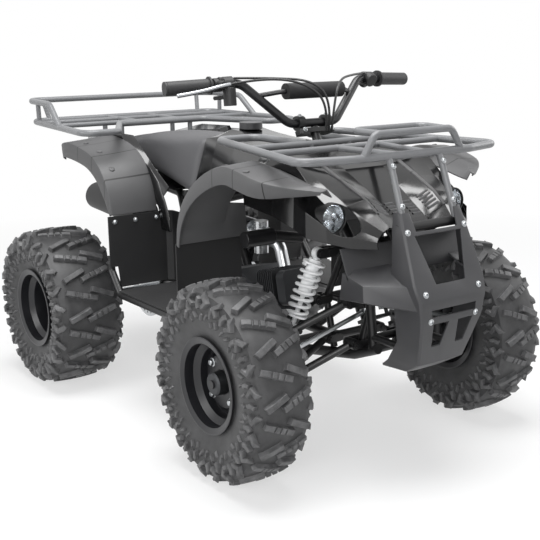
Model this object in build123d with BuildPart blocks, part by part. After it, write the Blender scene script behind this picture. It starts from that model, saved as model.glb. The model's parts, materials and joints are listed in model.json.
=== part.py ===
"""Youth utility quad bike: racks front and rear, plastic brush guard, knobbly tyres on 8 inch rims.

Units are millimetres.  +X points forward, +Y to the rider's left, +Z up.  The origin is on the
ground, in the middle of the overall length and on the centre line.
"""
import os
from math import cos, hypot, radians, sin

from build123d import *

os.makedirs("parts", exist_ok=True)

# Overall sizes
wheelbase = 930
front_overhang = 356
rear_overhang = 300
front_track = 756
rear_track = 772

# Wheels
front_tyre_radius = 241
front_tyre_width = 165
rear_tyre_radius = 231
rear_tyre_width = 212
bead_radius = 103
rim_lip = 13
rim_sheet = 3.5
front_rim_width = 140
rear_rim_width = 178
tyre_wall = 9
lug_circle = 110
lug_count = 4
lug_hole = 6

# Steering and front suspension
stem_lean = 24.5
stem_radius = 12
stem_top_height = 800
stem_foot_height = 330
stem_front_offset = 41
kingpin_y = 288
kingpin_radius = 6
pin_radius = 6
spindle_radius = 10
running_gap = 0.09
pitman_reach = 50
pitman_spread = 30
steering_arm = 62
ball_drift = 7

# Racks and guard tubes
rack_tube = 9.5
front_rack_height = 762
rear_rack_height = 754
rear_rail_height = 817

# Panels
panel = 4
moving_gap = 5
seat_gap = 0.3

# Stations
overall = rear_overhang + wheelbase + front_overhang
rear_x = rear_overhang - overall / 2
front_x = rear_x + wheelbase
front_y = front_track / 2
rear_y = rear_track / 2
front_z = front_tyre_radius
rear_z = rear_tyre_radius


def finish(builder, name):
    """Label a finished piece and write it."""
    builder.part.label = name
    export_step(builder.part, f"parts/{name}.step")
    print(name, "solids", len(builder.part.solids()), "volume", round(builder.part.volume), flush=True)


def both_sides(points):
    """The same route on the left and on the right."""
    return [[(x, side * y, z) for x, y, z in points] for side in (1, -1)]


def tube(points, radius, bend, closed=False):
    """Bent tube in the piece that is being built."""
    with BuildLine() as path:
        FilletPolyline(*points, radius=bend, close=closed)
    start = path.line.edges()[0]
    with BuildSketch(Plane(origin=start @ 0, z_dir=start % 0)) as section:
        Circle(radius)
    sweep(sections=section.sketch, path=path.line)


def rod(start, end, radius, mode=Mode.ADD):
    """Straight round bar, or bore, in the piece that is being built."""
    line = Vector(*end) - Vector(*start)
    with BuildSketch(Plane(origin=start, z_dir=line)) as section:
        Circle(radius)
    extrude(section.sketch, amount=line.length, mode=mode)


def bracket(pin, foot, half_width, radius, sheet=4):
    """Two plates either side of an eye that lies along X, with the pin between them."""
    reach = abs(pin[1] - foot[1])
    for way in (1, -1):
        edge = pin[0] + way * half_width
        with BuildSketch(Plane(origin=(edge, (pin[1] + foot[1]) / 2, pin[2]), x_dir=(0, 1, 0), z_dir=(way, 0, 0))) as plate:
            SlotCenterToCenter(reach, 2 * radius)
        extrude(plate.sketch, amount=sheet)
    rod((pin[0] - half_width - sheet - 3, pin[1], pin[2]), (pin[0] + half_width + sheet + 3, pin[1], pin[2]), pin_radius)


def ring(centre, direction, outer, inner, length):
    """Boss with a through hole, centred on its length."""
    across = Vector(*direction).normalized()
    with BuildSketch(Plane(origin=Vector(*centre) - across * length / 2, z_dir=across)) as section:
        Circle(outer)
    extrude(section.sketch, amount=length)
    with BuildSketch(Plane(origin=Vector(*centre) - across * (length / 2 + 1), z_dir=across)) as hole:
        Circle(inner)
    extrude(hole.sketch, amount=length + 2, mode=Mode.SUBTRACT)


# Wheels


def tyre(name, centre, radius, width, seat_half):
    """Hollow casing, tread as one smooth crown at the height of the lugs."""
    shoulder = radius - 16
    edge = radius - 4
    with BuildPart() as casing:
        with BuildSketch(Plane(origin=centre, x_dir=(1, 0, 0), z_dir=(0, 0, 1))):
            for inset, mode in ((0, Mode.ADD), (tyre_wall, Mode.SUBTRACT)):
                bead = bead_radius - inset
                half = seat_half - inset
                side = width / 2 - inset
                with BuildLine():
                    heel = Line((bead, half), (bead_radius + rim_lip + 4, half))
                    wall = ThreePointArc(heel @ 1, ((bead + radius) / 2 + 8, side), (shoulder - inset, side - 6))
                    slope = Line(wall @ 1, (edge - inset, side - 20))
                    crown = ThreePointArc(slope @ 1, (radius - inset, 0), (edge - inset, 20 - side))
                    back = Line(crown @ 1, (shoulder - inset, 6 - side))
                    rear = ThreePointArc(back @ 1, ((bead + radius) / 2 + 8, -side), (bead_radius + rim_lip + 4, -half))
                    toe = Line(rear @ 1, (bead, -half))
                    Line(toe @ 1, heel @ 0)
                make_face(mode=mode)
        revolve(axis=Axis(centre, (0, 1, 0)))
    finish(casing, name)


def rim(name, centre, width, side, disc_y):
    """Pressed steel rim with a dropped well and a dished centre."""
    half = width / 2
    lip = bead_radius - seat_gap + rim_lip
    seat = bead_radius - seat_gap
    well = seat - 14
    outer = [(lip, half), (lip, half - 4), (seat, half - 8), (seat, half - 28), (well, half - 40)]
    outline = outer + [(r, -w) for r, w in reversed(outer)]
    inner = [(r - rim_sheet - (rim_lip if r == lip else 0), w) for r, w in outline]
    inner[0] = (lip - rim_sheet, half)
    inner[-1] = (lip - rim_sheet, -half)
    plane = Plane(origin=centre, x_dir=(1, 0, 0), z_dir=(0, 0, 1))
    axis = Axis(centre, (0, side, 0))
    with BuildPart() as wheel:
        with BuildSketch(plane):
            with BuildLine():
                Polyline(*outline, *reversed(inner), close=True)
            make_face()
        revolve(axis=axis)
        with BuildSketch(plane):
            with BuildLine():
                Polyline((30, disc_y * side), (62, disc_y * side), (78, (disc_y - 14) * side),
                         (well - 1, (disc_y - 14) * side), (well - 1, (disc_y - 18) * side),
                         (76, (disc_y - 18) * side), (60, (disc_y - 4) * side), (30, (disc_y - 4) * side),
                         close=True)
            make_face()
        revolve(axis=axis)
        face = Plane(origin=(centre[0], centre[1] + disc_y * side + side, centre[2]),
                     x_dir=(1, 0, 0), z_dir=(0, side, 0))
        with BuildSketch(face):
            with PolarLocations(lug_circle / 2, lug_count, start_angle=45):
                Circle(lug_hole)
        extrude(amount=-10, mode=Mode.SUBTRACT)
    finish(wheel, name)


front_disc_y = 24
rear_disc_y = -10
for side, word in ((1, "left"), (-1, "right")):
    tyre(f"front_tyre_{word}", (front_x, side * front_y, front_z), front_tyre_radius, front_tyre_width,
         front_rim_width / 2 - 8.3)
    tyre(f"rear_tyre_{word}", (rear_x, side * rear_y, rear_z), rear_tyre_radius, rear_tyre_width,
         rear_rim_width / 2 - 8.3)
    rim(f"front_rim_{word}", (front_x, side * front_y, front_z), front_rim_width, side, front_disc_y)
    rim(f"rear_rim_{word}", (rear_x, side * rear_y, rear_z), rear_rim_width, side, rear_disc_y)

# Front hub with its brake drum, running on the spindle
drum_radius = 66
hub_flange_y = front_y + front_disc_y - 4
for side, word in ((1, "left"), (-1, "right")):
    drum_y = kingpin_y + 26
    with BuildPart() as hub:
        with BuildSketch(Plane(origin=(front_x, 0, front_z), x_dir=(1, 0, 0), z_dir=(0, 0, 1))):
            with BuildLine():
                Polyline((spindle_radius + running_gap, side * drum_y), (drum_radius, side * drum_y),
                         (drum_radius, side * (drum_y + 34)), (30, side * (drum_y + 40)),
                         (30, side * (hub_flange_y - 8)), (57, side * (hub_flange_y - 8)),
                         (57, side * hub_flange_y), (28, side * hub_flange_y),
                         (28, side * (hub_flange_y + 26)), (24, side * (hub_flange_y + 30)),
                         (spindle_radius + running_gap, side * (hub_flange_y + 30)), close=True)
            make_face()
        revolve(axis=Axis((front_x, 0, front_z), (0, 1, 0)))
    finish(hub, f"front_hub_{word}")

# Rear axle: one live shaft with a hub flange behind each rim
axle_radius = 15
hub_face = rear_y + rear_disc_y - 4
with BuildPart() as rear_axle:
    rod((rear_x, -hub_face - 30, rear_z), (rear_x, hub_face + 30, rear_z), axle_radius)
    for side in (1, -1):
        with BuildSketch(Plane(origin=(rear_x, side * hub_face, rear_z), z_dir=(0, -side, 0))):
            Circle(58)
        extrude(amount=8)
        with BuildSketch(Plane(origin=(rear_x, side * hub_face, rear_z), z_dir=(0, -side, 0))):
            Circle(27)
        extrude(amount=60)
        with BuildSketch(Plane(origin=(rear_x, side * hub_face, rear_z), z_dir=(0, side, 0))):
            Circle(26)
        extrude(amount=30)
finish(rear_axle, "rear_axle")

# Chain wheel on the left of the axle, brake disc on the right
sprocket_y = 96
sprocket_teeth = 37
chain_pitch = 12.7
sprocket_radius = chain_pitch / 2 / sin(radians(180 / sprocket_teeth))
with BuildPart() as sprocket:
    with BuildSketch(Plane(origin=(rear_x, sprocket_y - 4, rear_z), x_dir=(1, 0, 0), z_dir=(0, -1, 0))):
        Circle(sprocket_radius + 4)
        with PolarLocations(sprocket_radius, sprocket_teeth):
            Circle(3.9, mode=Mode.SUBTRACT)
        with PolarLocations(44, 4):
            SlotOverall(30, 16, rotation=90, mode=Mode.SUBTRACT)
        Circle(axle_radius + running_gap, mode=Mode.SUBTRACT)
    extrude(amount=-6)
finish(sprocket, "rear_sprocket")

disc_y = -96
with BuildPart() as brake_disc:
    with BuildSketch(Plane(origin=(rear_x, disc_y + 2, rear_z), x_dir=(1, 0, 0), z_dir=(0, -1, 0))):
        Circle(90)
        with PolarLocations(48, 6):
            Circle(13, mode=Mode.SUBTRACT)
        with PolarLocations(78, 24):
            Circle(3.5, mode=Mode.SUBTRACT)
        Circle(axle_radius + running_gap, mode=Mode.SUBTRACT)
    extrude(amount=4)
finish(brake_disc, "rear_brake_disc")

# Suspension pivots: inner pins of the arms, kingpin eyes and damper ends
lower_ball_z = 190
upper_ball_z = 306
eye_half = 9
arm_tube = 9.5
bush_half = 18
inner_pins = {
    "lower": ((front_x - 14, 84, 285), (front_x + 88, 84, 294), lower_ball_z),
    "upper": ((front_x - 46, 92, 380), (front_x + 76, 92, 396), upper_ball_z),
}
shock_top = (front_x + 38, 148, 520)
shock_foot = (front_x + 6, 206, 336)
shock_eye = 14
coil_bite = 0.8
shock_eye_half = 8

# Swingarm with the axle bearing carrier
pivot_x = rear_x + 322
pivot_z = 292
pivot_bolt = 8
pivot_half = 74
carrier_half = 62
shock_low = (rear_x + 150, 0, rear_z + 84)
with BuildPart() as swingarm:
    rod((rear_x, -carrier_half, rear_z), (rear_x, carrier_half, rear_z), 36)
    for route in both_sides([(rear_x + 26, 46, rear_z + 6), (rear_x + 120, 58, rear_z + 22),
                             (pivot_x, 58, pivot_z)]):
        tube(route, 15, 60)
    rod((pivot_x, -pivot_half, pivot_z), (pivot_x, pivot_half, pivot_z), 17)
    rod((shock_low[0], -58, rear_z + 34), (shock_low[0], 58, rear_z + 34), 12)
    for side in (1, -1):
        edge = side * (shock_eye_half + 2)
        with BuildSketch(Plane(origin=(shock_low[0], edge, (shock_low[2] + rear_z + 34) / 2), x_dir=(0, 0, 1),
                               z_dir=(0, side, 0))) as plate:
            SlotCenterToCenter(shock_low[2] - rear_z - 34, 24)
        extrude(plate.sketch, amount=4)
    rod((shock_low[0], -20, shock_low[2]), (shock_low[0], 20, shock_low[2]), pin_radius)
    rod((rear_x, -carrier_half - 1, rear_z), (rear_x, carrier_half + 1, rear_z), axle_radius + running_gap,
        mode=Mode.SUBTRACT)
    rod((pivot_x, -pivot_half - 1, pivot_z), (pivot_x, pivot_half + 1, pivot_z), pivot_bolt + running_gap,
        mode=Mode.SUBTRACT)
finish(swingarm, "swingarm")

# Steering column, leaning back, with the pitman arm at its foot
lean = radians(stem_lean)
stem_up = Vector(-sin(lean), 0, cos(lean))
stem_out = Vector(cos(lean), 0, sin(lean))
stem_foot = Vector(front_x + stem_front_offset, 0, stem_foot_height)
stem_length = (stem_top_height - stem_foot_height) / cos(lean)
stem_top = stem_foot + stem_up * stem_length


def on_stem(along, out=0, across=0):
    """Point in the column's own frame, from its foot."""
    point = stem_foot + stem_up * along + stem_out * out
    return Vector(point.X, across, point.Z)


# Frame of round tube
frame_tube = 13
rail_y = 68
bearing_low = 40
bearing_high = 330
bearing_length = 36
lower_front = (front_x + 150, 58, 290)
foot_bar_y = 336
foot_bar_z = 311
foot_bar_radius = 11
well_back = rear_x + 266
well_front = rear_x + 640
well_floor = foot_bar_z + foot_bar_radius + seat_gap
with BuildPart() as frame:
    for route in both_sides([
        (lower_front[0] + 6, lower_front[1], lower_front[2] + 2), (front_x + 70, 60, 258), (front_x - 230, 92, 212),
        (pivot_x + 40, 92, 212), (pivot_x, 92, pivot_z), (pivot_x - 60, 84, 430), (rear_x + 190, rail_y, 560),
        (rear_x - 205, rail_y, 592),
    ]):
        tube(route, frame_tube, 30)
    for cross in ((rear_x - 194, 76, 591), (rear_x + 430, 92, 220 - seat_gap - frame_tube + 2), (front_x - 230, 94, 212), (rear_x + 230, 76, 562), (front_x + 120, 64, 278)):
        rod(cross, (cross[0], -cross[1], cross[2]), frame_tube - 2)
    rod((pivot_x, 95, pivot_z), (pivot_x, -95, pivot_z), pivot_bolt)
    for route in both_sides([
        (front_x + 140, 59, 282), (front_x + 128, 62, 420), (front_x + 64, 66, 540), (front_x - 30, 60, 640),
        (front_x - 200, 56, 652), (rear_x + 380, 62, 560), (rear_x + 196, 62, 556),
    ]):
        tube(route, frame_tube - 1, 30)
    rod((front_x - 190, 60, 651), (front_x - 190, -60, 651), frame_tube - 3)
    rod((shock_top[0], 122, shock_top[2]), (shock_top[0], -122, shock_top[2]), 14)
    for side in (1, -1):
        for low, high in (
            ((front_x - 14, 58, 256), (front_x - 46, 60, 392)), ((front_x - 46, 60, 372), (shock_top[0] + 3, 66, 524)),
            ((front_x + 76, 64, 392), (front_x + 114, 63, 456)), ((front_x + 88, 60, 270), (front_x + 131, 61, 400)),
        ):
            rod((low[0], side * low[1], low[2]), (high[0], side * high[1], high[2]), 9)
print("rails", len(frame.part.solids()), round(frame.part.volume))
with frame:
    for back_pin, fore_pin, ball_z in inner_pins.values():
        for x, y, z in (back_pin, fore_pin):
            rod((x, y - 19, z), (x, 19 - y, z), 10.5)
    for side in (1, -1):
        for back_pin, fore_pin, ball_z in inner_pins.values():
            for x, y, z in (back_pin, fore_pin):
                bracket((x, side * y, z), (x, side * (y - 28), z), bush_half + seat_gap, 10)
        x, y, z = shock_top
        rod((x - 18, side * 116, z), (x + 18, side * 116, z), 12)
        bracket((x, side * y, z), (x, side * (y - 40), z), shock_eye_half + 2, 12)
print("brackets", len(frame.part.solids()), round(frame.part.volume))
with frame:
    for side in (1, -1):
        with BuildSketch(Plane(origin=(rear_x + 240, side * (shock_eye_half + 2), 549), x_dir=(20, 0, -26),
                               z_dir=(0, side, 0))) as plate:
            SlotCenterToCenter(hypot(20, 26), 24)
        extrude(plate.sketch, amount=4)
        rod((rear_x + 330, side * 62, 559), (rear_x + 330, side * 62, 584), 9)
        rod((front_x + 137, side * 60, 318), (front_x + front_overhang - 55, side * 60, 318), 9)
    rod((rear_x + 250, 20, 536), (rear_x + 250, -20, 536), pin_radius)
    for side in (1, -1):
        bar_back = well_back - panel - foot_bar_radius - 2
        tube([(bar_back, side * foot_bar_y, 392), (bar_back, side * foot_bar_y, 372),
              (rear_x + 300, side * foot_bar_y, foot_bar_z), (rear_x + 590, side * foot_bar_y, foot_bar_z),
              (rear_x + 634, side * 300, foot_bar_z - 6), (rear_x + 642, side * 90, 219)], foot_bar_radius, 20)
        rod((rear_x + 340, side * foot_bar_y, foot_bar_z - 2), (rear_x + 372, side * 94, 214), 8)
        rod((bar_back, side * foot_bar_y, 386), (bar_back, side * 86, 436), 8)
print("bars", len(frame.part.solids()), round(frame.part.volume))
with frame:
    for along in (bearing_low, bearing_high):
        rod(on_stem(along - bearing_length / 2), on_stem(along + bearing_length / 2), stem_radius + 7)
    for side in (1, -1):
        rod(on_stem(bearing_low, 0, side * 12), (front_x - 47, side * 61, 385), 8)
        rod(on_stem(bearing_high, 0, side * 12), (front_x - 64, side * 61, 640), 8)
    for along in (bearing_low, bearing_high):
        rod(on_stem(along - 60), on_stem(along + 60), stem_radius + running_gap, mode=Mode.SUBTRACT)
finish(frame, "frame")

bar_radius = 11
bar_seat = on_stem(stem_length + 6)
with BuildPart() as steering_stem:
    rod(stem_foot - stem_up * 8, on_stem(stem_length - 7), stem_radius)
    with BuildSketch(Plane(origin=on_stem(0), x_dir=stem_out, z_dir=stem_up)):
        Circle(22)
        with Locations((pitman_reach, pitman_spread), (pitman_reach, -pitman_spread)):
            Circle(11)
        make_hull()
    extrude(amount=-8)
    for side in (1, -1):
        rod(on_stem(-1, pitman_reach, side * pitman_spread), on_stem(30, pitman_reach, side * pitman_spread), 5)
    with BuildSketch(Plane(origin=on_stem(stem_length - 24), x_dir=stem_out, z_dir=stem_up)):
        RectangleRounded(36, 108, 10)
    extrude(amount=12)
    for side in (1, -1):
        ring((bar_seat.X, side * 42, bar_seat.Z), (0, 1, 0), 19, bar_radius + seat_gap, 20)
finish(steering_stem, "steering_stem")

# Suspension arms, each a triangle of two tubes with an eye for the knuckle's pin
for name, (back_pin, fore_pin, ball_z) in inner_pins.items():
    with BuildPart() as arms:
        for side in (1, -1):
            eye = (front_x, side * kingpin_y, ball_z)
            starts = [(pin[0], side * pin[1], pin[2]) for pin in (back_pin, fore_pin)]
            for start in starts:
                rod(start, (eye[0], eye[1] - side * 12, eye[2]), arm_tube)
                rod((start[0] - bush_half, start[1], start[2]), (start[0] + bush_half, start[1], start[2]), 13)
            rod((eye[0], eye[1], eye[2] - eye_half), (eye[0], eye[1], eye[2] + eye_half), 17)
            for way in (1, -1):
                edge = eye[2] + way * eye_half
                rod((eye[0], eye[1], edge), (eye[0], eye[1], edge + way * 30), 26, mode=Mode.SUBTRACT)
            rod((eye[0], eye[1], eye[2] - 40), (eye[0], eye[1], eye[2] + 40), kingpin_radius + running_gap,
                mode=Mode.SUBTRACT)
            for x, y, z in starts:
                rod((x - 40, y, z), (x + 40, y, z), pin_radius + running_gap, mode=Mode.SUBTRACT)
            if name == "upper":
                share = (shock_foot[1] - back_pin[1]) / (kingpin_y - 12 - back_pin[1])
                back_end = back_pin[0] + (front_x - back_pin[0]) * share
                fore_end = fore_pin[0] + (front_x - fore_pin[0]) * share
                rod((back_end - 15, side * shock_foot[1], shock_foot[2]),
                    (fore_end + 15, side * shock_foot[1], shock_foot[2]), pin_radius)
    finish(arms, f"{name}_arms")

# Knuckles: kingpin, spindle and the forward steering arm
for side, word in ((1, "left"), (-1, "right")):
    body_low = lower_ball_z + eye_half + 2
    body_high = upper_ball_z - eye_half - 2
    with BuildPart() as knuckle:
        rod((front_x, side * kingpin_y, lower_ball_z - eye_half - 6),
            (front_x, side * kingpin_y, upper_ball_z + eye_half + 6), kingpin_radius)
        rod((front_x, side * kingpin_y, body_low), (front_x, side * kingpin_y, body_high), 15)
        rod((front_x, side * kingpin_y, front_z), (front_x, side * (kingpin_y + 20), front_z), 20)
        rod((front_x, side * kingpin_y, front_z), (front_x, side * (hub_flange_y + 34), front_z), spindle_radius)
        rod((front_x, side * kingpin_y, 276), (front_x + steering_arm, side * (kingpin_y - 6), 276), 9)
        ring((front_x + steering_arm, side * (kingpin_y - 6), 276), (0, 0, 1), 12, kingpin_radius - 2 + running_gap, 14)
        with BuildSketch(Plane(origin=(front_x + steering_arm, side * (kingpin_y - 6), 250), z_dir=(0, 0, 1))) as bore:
            Circle(kingpin_radius - 2 + running_gap)
        extrude(bore.sketch, amount=60, mode=Mode.SUBTRACT)
    finish(knuckle, f"knuckle_{word}")

# Tie rods, pinned to the steering arm, open around the pitman's pin
for side, word in ((1, "left"), (-1, "right")):
    outer = Vector(front_x + steering_arm, side * (kingpin_y - 6), 292)
    inner = on_stem(18, pitman_reach, side * pitman_spread)
    with BuildPart() as tie_rod:
        rod((outer.X, outer.Y, 266), (outer.X, outer.Y, 298), kingpin_radius - 2)
        rod((outer.X, outer.Y, 285), (outer.X, outer.Y, 299), 11)
        rod(outer, inner, 6)
        ring(inner, stem_up, 5 + ball_drift + 5, 5 + ball_drift, 10)
        with BuildSketch(Plane(origin=inner - stem_up * 30, z_dir=stem_up)) as bore:
            Circle(5 + ball_drift)
        extrude(bore.sketch, amount=60, mode=Mode.SUBTRACT)
    finish(tie_rod, f"tie_rod_{word}")

# Coil-over dampers: body, rod, eyes and spring seats with the coil between them


def damper(top, foot, pin_axis, coil_radius, wire, turns):
    """Damper from eye to eye; its coil spring sits between two seats."""
    line = Vector(*foot) - Vector(*top)
    along = line.normalized()
    rod(Vector(*top) + along * 10, Vector(*foot) - along * 10, 6)
    rod(Vector(*top) + along * 16, Vector(*top) + along * (line.length * 0.55), coil_radius - wire - 4)
    seats = (24, line.length - 34)
    for reach, way in zip(seats, (1, -1)):
        seat = Vector(*top) + along * reach
        rod(seat, seat + along * way * 5, coil_radius)
    low = seats[0] + 5 + wire / 2 - coil_bite
    height = seats[1] - 5 - wire / 2 + coil_bite - low
    with BuildLine() as coil:
        Helix(height / turns, height, coil_radius - wire / 2, center=Vector(*top) + along * low, direction=along)
    with BuildSketch(Plane(origin=coil.line @ 0, z_dir=coil.line % 0)) as section:
        Circle(wire / 2)
    sweep(sections=section.sketch, path=coil.line, is_frenet=True)
    for end in (top, foot):
        ring(end, pin_axis, shock_eye, pin_radius + 2 * running_gap, 2 * shock_eye_half)


with BuildPart() as front_shocks:
    for side in (1, -1):
        damper((shock_top[0], side * shock_top[1], shock_top[2]),
               (shock_foot[0], side * shock_foot[1], shock_foot[2]), (1, 0, 0), 28, 8, 7)
finish(front_shocks, "front_shocks")

with BuildPart() as rear_shock:
    damper((rear_x + 250, 0, 536), shock_low, (0, 1, 0), 29, 9, 7)
finish(rear_shock, "rear_shock")

# Engine: horizontal single cylinder, with its fins and covers
crank_x = pivot_x + 17 + moving_gap + 127
crank_z = 292
case_half = 70
with BuildPart() as engine:
    with BuildSketch(Plane(origin=(0, case_half, 0), x_dir=(1, 0, 0), z_dir=(0, -1, 0))):
        with BuildLine():
            Polyline((crank_x - 125, crank_z - 30), (crank_x - 95, crank_z - 72), (crank_x + 70, crank_z - 72),
                     (crank_x + 96, crank_z - 30), (crank_x + 96, crank_z + 62), (crank_x + 20, crank_z + 88),
                     (crank_x - 105, crank_z + 60), close=True)
        make_face()
    extrude(amount=2 * case_half)
    for side in (1, -1):
        with BuildSketch(Plane(origin=(crank_x + 18, side * case_half, crank_z), z_dir=(0, side, 0))):
            Circle(64)
        extrude(amount=24)
    barrel = Plane(origin=(crank_x + 90, 0, crank_z + 40), z_dir=(cos(radians(12)), 0, sin(radians(12))))
    with BuildSketch(barrel):
        RectangleRounded(78, 82, 12)
    extrude(amount=128)
    for fin in range(9):
        with BuildSketch(barrel.offset(12 + fin * 9)):
            RectangleRounded(108, 112, 16)
        extrude(amount=3)
    with BuildSketch(barrel.offset(96)):
        RectangleRounded(96, 98, 18)
    extrude(amount=36)
finish(engine, "engine")

# Carburettor on its manifold, with the air filter canister behind
with BuildPart() as carburettor:
    tube([(crank_x + 150, 0, crank_z + 110), (crank_x + 130, 0, crank_z + 168), (crank_x + 20, 0, crank_z + 182)],
         17, 30)
    rod((crank_x + 70, 0, crank_z + 181), (crank_x + 10, 0, crank_z + 183), 26)
    rod((crank_x + 40, 0, crank_z + 130), (crank_x + 40, 0, crank_z + 222), 20)
    rod((crank_x + 10, 0, crank_z + 183), (crank_x - 90, 0, crank_z + 186), 38)
finish(carburettor, "carburettor")

# Exhaust down the right side to a round silencer under the rear fender
with BuildPart() as exhaust:
    tube([(crank_x + 210, 0, crank_z + 13), (crank_x + 210, 0, crank_z - 34), (crank_x + 120, -118, crank_z - 30),
          (crank_x - 60, -120, crank_z + 60), (crank_x - 200, -122, crank_z + 190),
          (rear_x + 90, -138, 488)], 14, 26)
    rod((rear_x + 92, -138, 488), (rear_x - 230, -138, 506), 44)
    rod((rear_x - 228, -138, 506), (rear_x - 262, -138, 506), 15)
finish(exhaust, "exhaust")

# Front rack: one long tube open behind the steering column, with two raised hoops and four legs
guard_x = front_x + front_overhang
nose_x = front_x + 209
stem_bay_x = front_x - 105
rack_leg = 8
horn_leg = [(nose_x + 12, 78, front_rack_height - 26), (guard_x - 89, 80, 614)]
with BuildPart() as front_rack:
    low = front_rack_height
    high = low + 52
    half = [(stem_bay_x, 80, low), (front_x - 314, 76, low), (front_x - 318, 196, low),
            (front_x + 176, 306, low), (nose_x, 178, low)]
    tube(half + [(x, -y, z) for x, y, z in reversed(half)], rack_tube, 34)
    for x, reach in ((stem_bay_x, 243), (front_x + 10, 269)):
        rod((x, -reach, low), (x, reach, low), rack_tube - 1.5)
    tube([(nose_x, 152, low), (nose_x, 118, high), (nose_x, -118, high), (nose_x, -152, low)], rack_tube - 1, 24)
    tube([(nose_x - 3, 100, high), (nose_x - 94, 112, high), (nose_x - 94, -112, high), (nose_x - 3, -100, high)],
         rack_tube - 1.5, 30)
    for side in (1, -1):
        rod((front_x + 10, side * 66, low), (nose_x, side * 42, low), rack_tube - 2)
        rod((stem_bay_x, side * 60, low), (stem_bay_x, side * 60, 658), rack_leg)
        tube([(nose_x - 2, side * 78, low)] + [(x, side * y, z) for x, y, z in horn_leg], rack_leg, 20)
finish(front_rack, "front_rack")

# Rear rack: a wide loop around the seat's tail, with a raised rail behind
back_x = rear_x - rear_overhang + rack_tube
rack_back = back_x + 22
leg_routes = [[(rear_x + x, side * 122, rear_rack_height), (rear_x + x, side * 122, 650),
               (rear_x + x, side * 76.6, 591.4 + (-70 - x) * 0.081)] for x in (-185, -70) for side in (1, -1)]
with BuildPart() as rear_rack:
    low = rear_rack_height
    high = rear_rail_height
    half = [(rear_x - 28, 150, low), (rear_x + 185, 262, low), (rear_x + 188, 366, low), (rack_back, 322, low)]
    tube(half + [(x, -y, z) for x, y, z in reversed(half)], rack_tube, 34, closed=True)
    for x, reach in ((rear_x - 185, 329), (rear_x - 70, 340)):
        rod((x, -reach, low), (x, reach, low), rack_tube - 2)
    half = [(rear_x - 24, 345.5, low), (rear_x - 104, 338, high), (back_x, 326, high)]
    tube(half + [(x, -y, z) for x, y, z in reversed(half)], rack_tube - 0.5, 40)
    for side in (1, -1):
        rod((rack_back, side * 72, low), (rear_x - 28, side * 72, low), rack_tube - 2)
        rod((rack_back, side * 270, low), (back_x, side * 280, high), rack_tube - 2.5)
        rod((rear_x - 215, side * 327, low), (rear_x - 215, side * 328, high), rack_tube - 2.5)
    for route in leg_routes:
        tube(route, rack_leg - 0.5, 20)
finish(rear_rack, "rear_rack")

# Brush guard: a tall moulded shield with two horns, a wing on each side and a skid below
with BuildPart() as front_bumper:
    side_view = [(guard_x - 80, 640), (guard_x - 106, 618), (guard_x - 96, 520), (guard_x - 94, 420),
                 (guard_x - 104, 330), (guard_x - 150, 282), (guard_x - 176, 274), (guard_x - 182, 256),
                 (guard_x - 90, 262), (guard_x - 58, 282), (guard_x - 2, 400), (guard_x, 452)]
    with BuildSketch(Plane(origin=(0, 110, 0), x_dir=(1, 0, 0), z_dir=(0, -1, 0))):
        with BuildLine():
            Polyline(*side_view, close=True)
        make_face()
    extrude(amount=220)
    with BuildSketch(Plane(origin=(guard_x - 220, 0, 0), x_dir=(0, 1, 0), z_dir=(1, 0, 0))):
        with BuildLine():
            Polyline((-96, 650), (-68, 650), (-62, 600), (62, 600), (68, 650), (96, 650), (110, 480),
                     (96, 400), (56, 250), (-56, 250), (-96, 400), (-110, 480), close=True)
        make_face()
    extrude(amount=260, mode=Mode.INTERSECT)
    with BuildSketch(Plane(origin=(0, 92, 0), x_dir=(1, 0, 0), z_dir=(0, -1, 0))):
        with BuildLine():
            Polyline((guard_x - 110, 590), (guard_x - 72, 590), (guard_x - 8, 450), (guard_x - 10, 400),
                     (guard_x - 64, 290), (guard_x - 92, 270), (guard_x - 240, 262), (guard_x - 240, 590),
                     close=True)
        make_face()
    extrude(amount=184, mode=Mode.SUBTRACT)
    with BuildSketch(Plane(origin=(guard_x - 120, 0, 0), x_dir=(0, 1, 0), z_dir=(1, 0, 0))):
        with BuildLine():
            Polyline((-70, 586), (70, 586), (48, 490), (-48, 490), close=True)
        make_face()
        with BuildLine():
            Polyline((-72, 430), (72, 430), (70, 414), (-70, 414), close=True)
        make_face()
        for s in (1, -1):
            with BuildLine():
                Polyline((s * 66, 398), (s * 20, 398), (s * 28, 352), (s * 52, 336), close=True)
            make_face()
    extrude(amount=200, mode=Mode.SUBTRACT)
    for s in (1, -1):
        with BuildSketch(Plane.XY.offset(440)) as wing:
            with BuildLine():
                Polyline((guard_x - 96, s * 90), (guard_x - 14, s * 104), (guard_x - 100, s * 186),
                         (guard_x - 168, s * 190), (guard_x - 168, s * 150), close=True)
            make_face()
        extrude(wing.sketch, amount=48)
        with BuildSketch(Plane.XY.offset(430)) as hollow:
            with BuildLine():
                Polyline((guard_x - 100, s * 94), (guard_x - 24, s * 100), (guard_x - 104, s * 180),
                         (guard_x - 190, s * 184), (guard_x - 190, s * 146), close=True)
            make_face()
        extrude(hollow.sketch, amount=53, mode=Mode.SUBTRACT)
        start, end = [Vector(x, s * y, z) for x, y, z in horn_leg]
        rod(start, end + (end - start).normalized() * seat_gap, rack_leg + seat_gap, mode=Mode.SUBTRACT)
finish(front_bumper, "front_bumper")

# Bodywork shells


def inward(points, wall):
    """The same outline moved square to itself by the wall, mitred at its corners."""
    sides = []
    for (x0, y0), (x1, y1) in zip(points, points[1:]):
        run = hypot(x1 - x0, y1 - y0)
        sides.append(((y1 - y0) / run, (x0 - x1) / run))
    moved = []
    for (x, y), (ax, ay), (bx, by) in zip(points, sides[:1] + sides, sides + sides[-1:]):
        share = wall / (1 + ax * bx + ay * by)
        moved.append((x + (ax + bx) * share, y + (ay + by) * share))
    return moved


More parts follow.
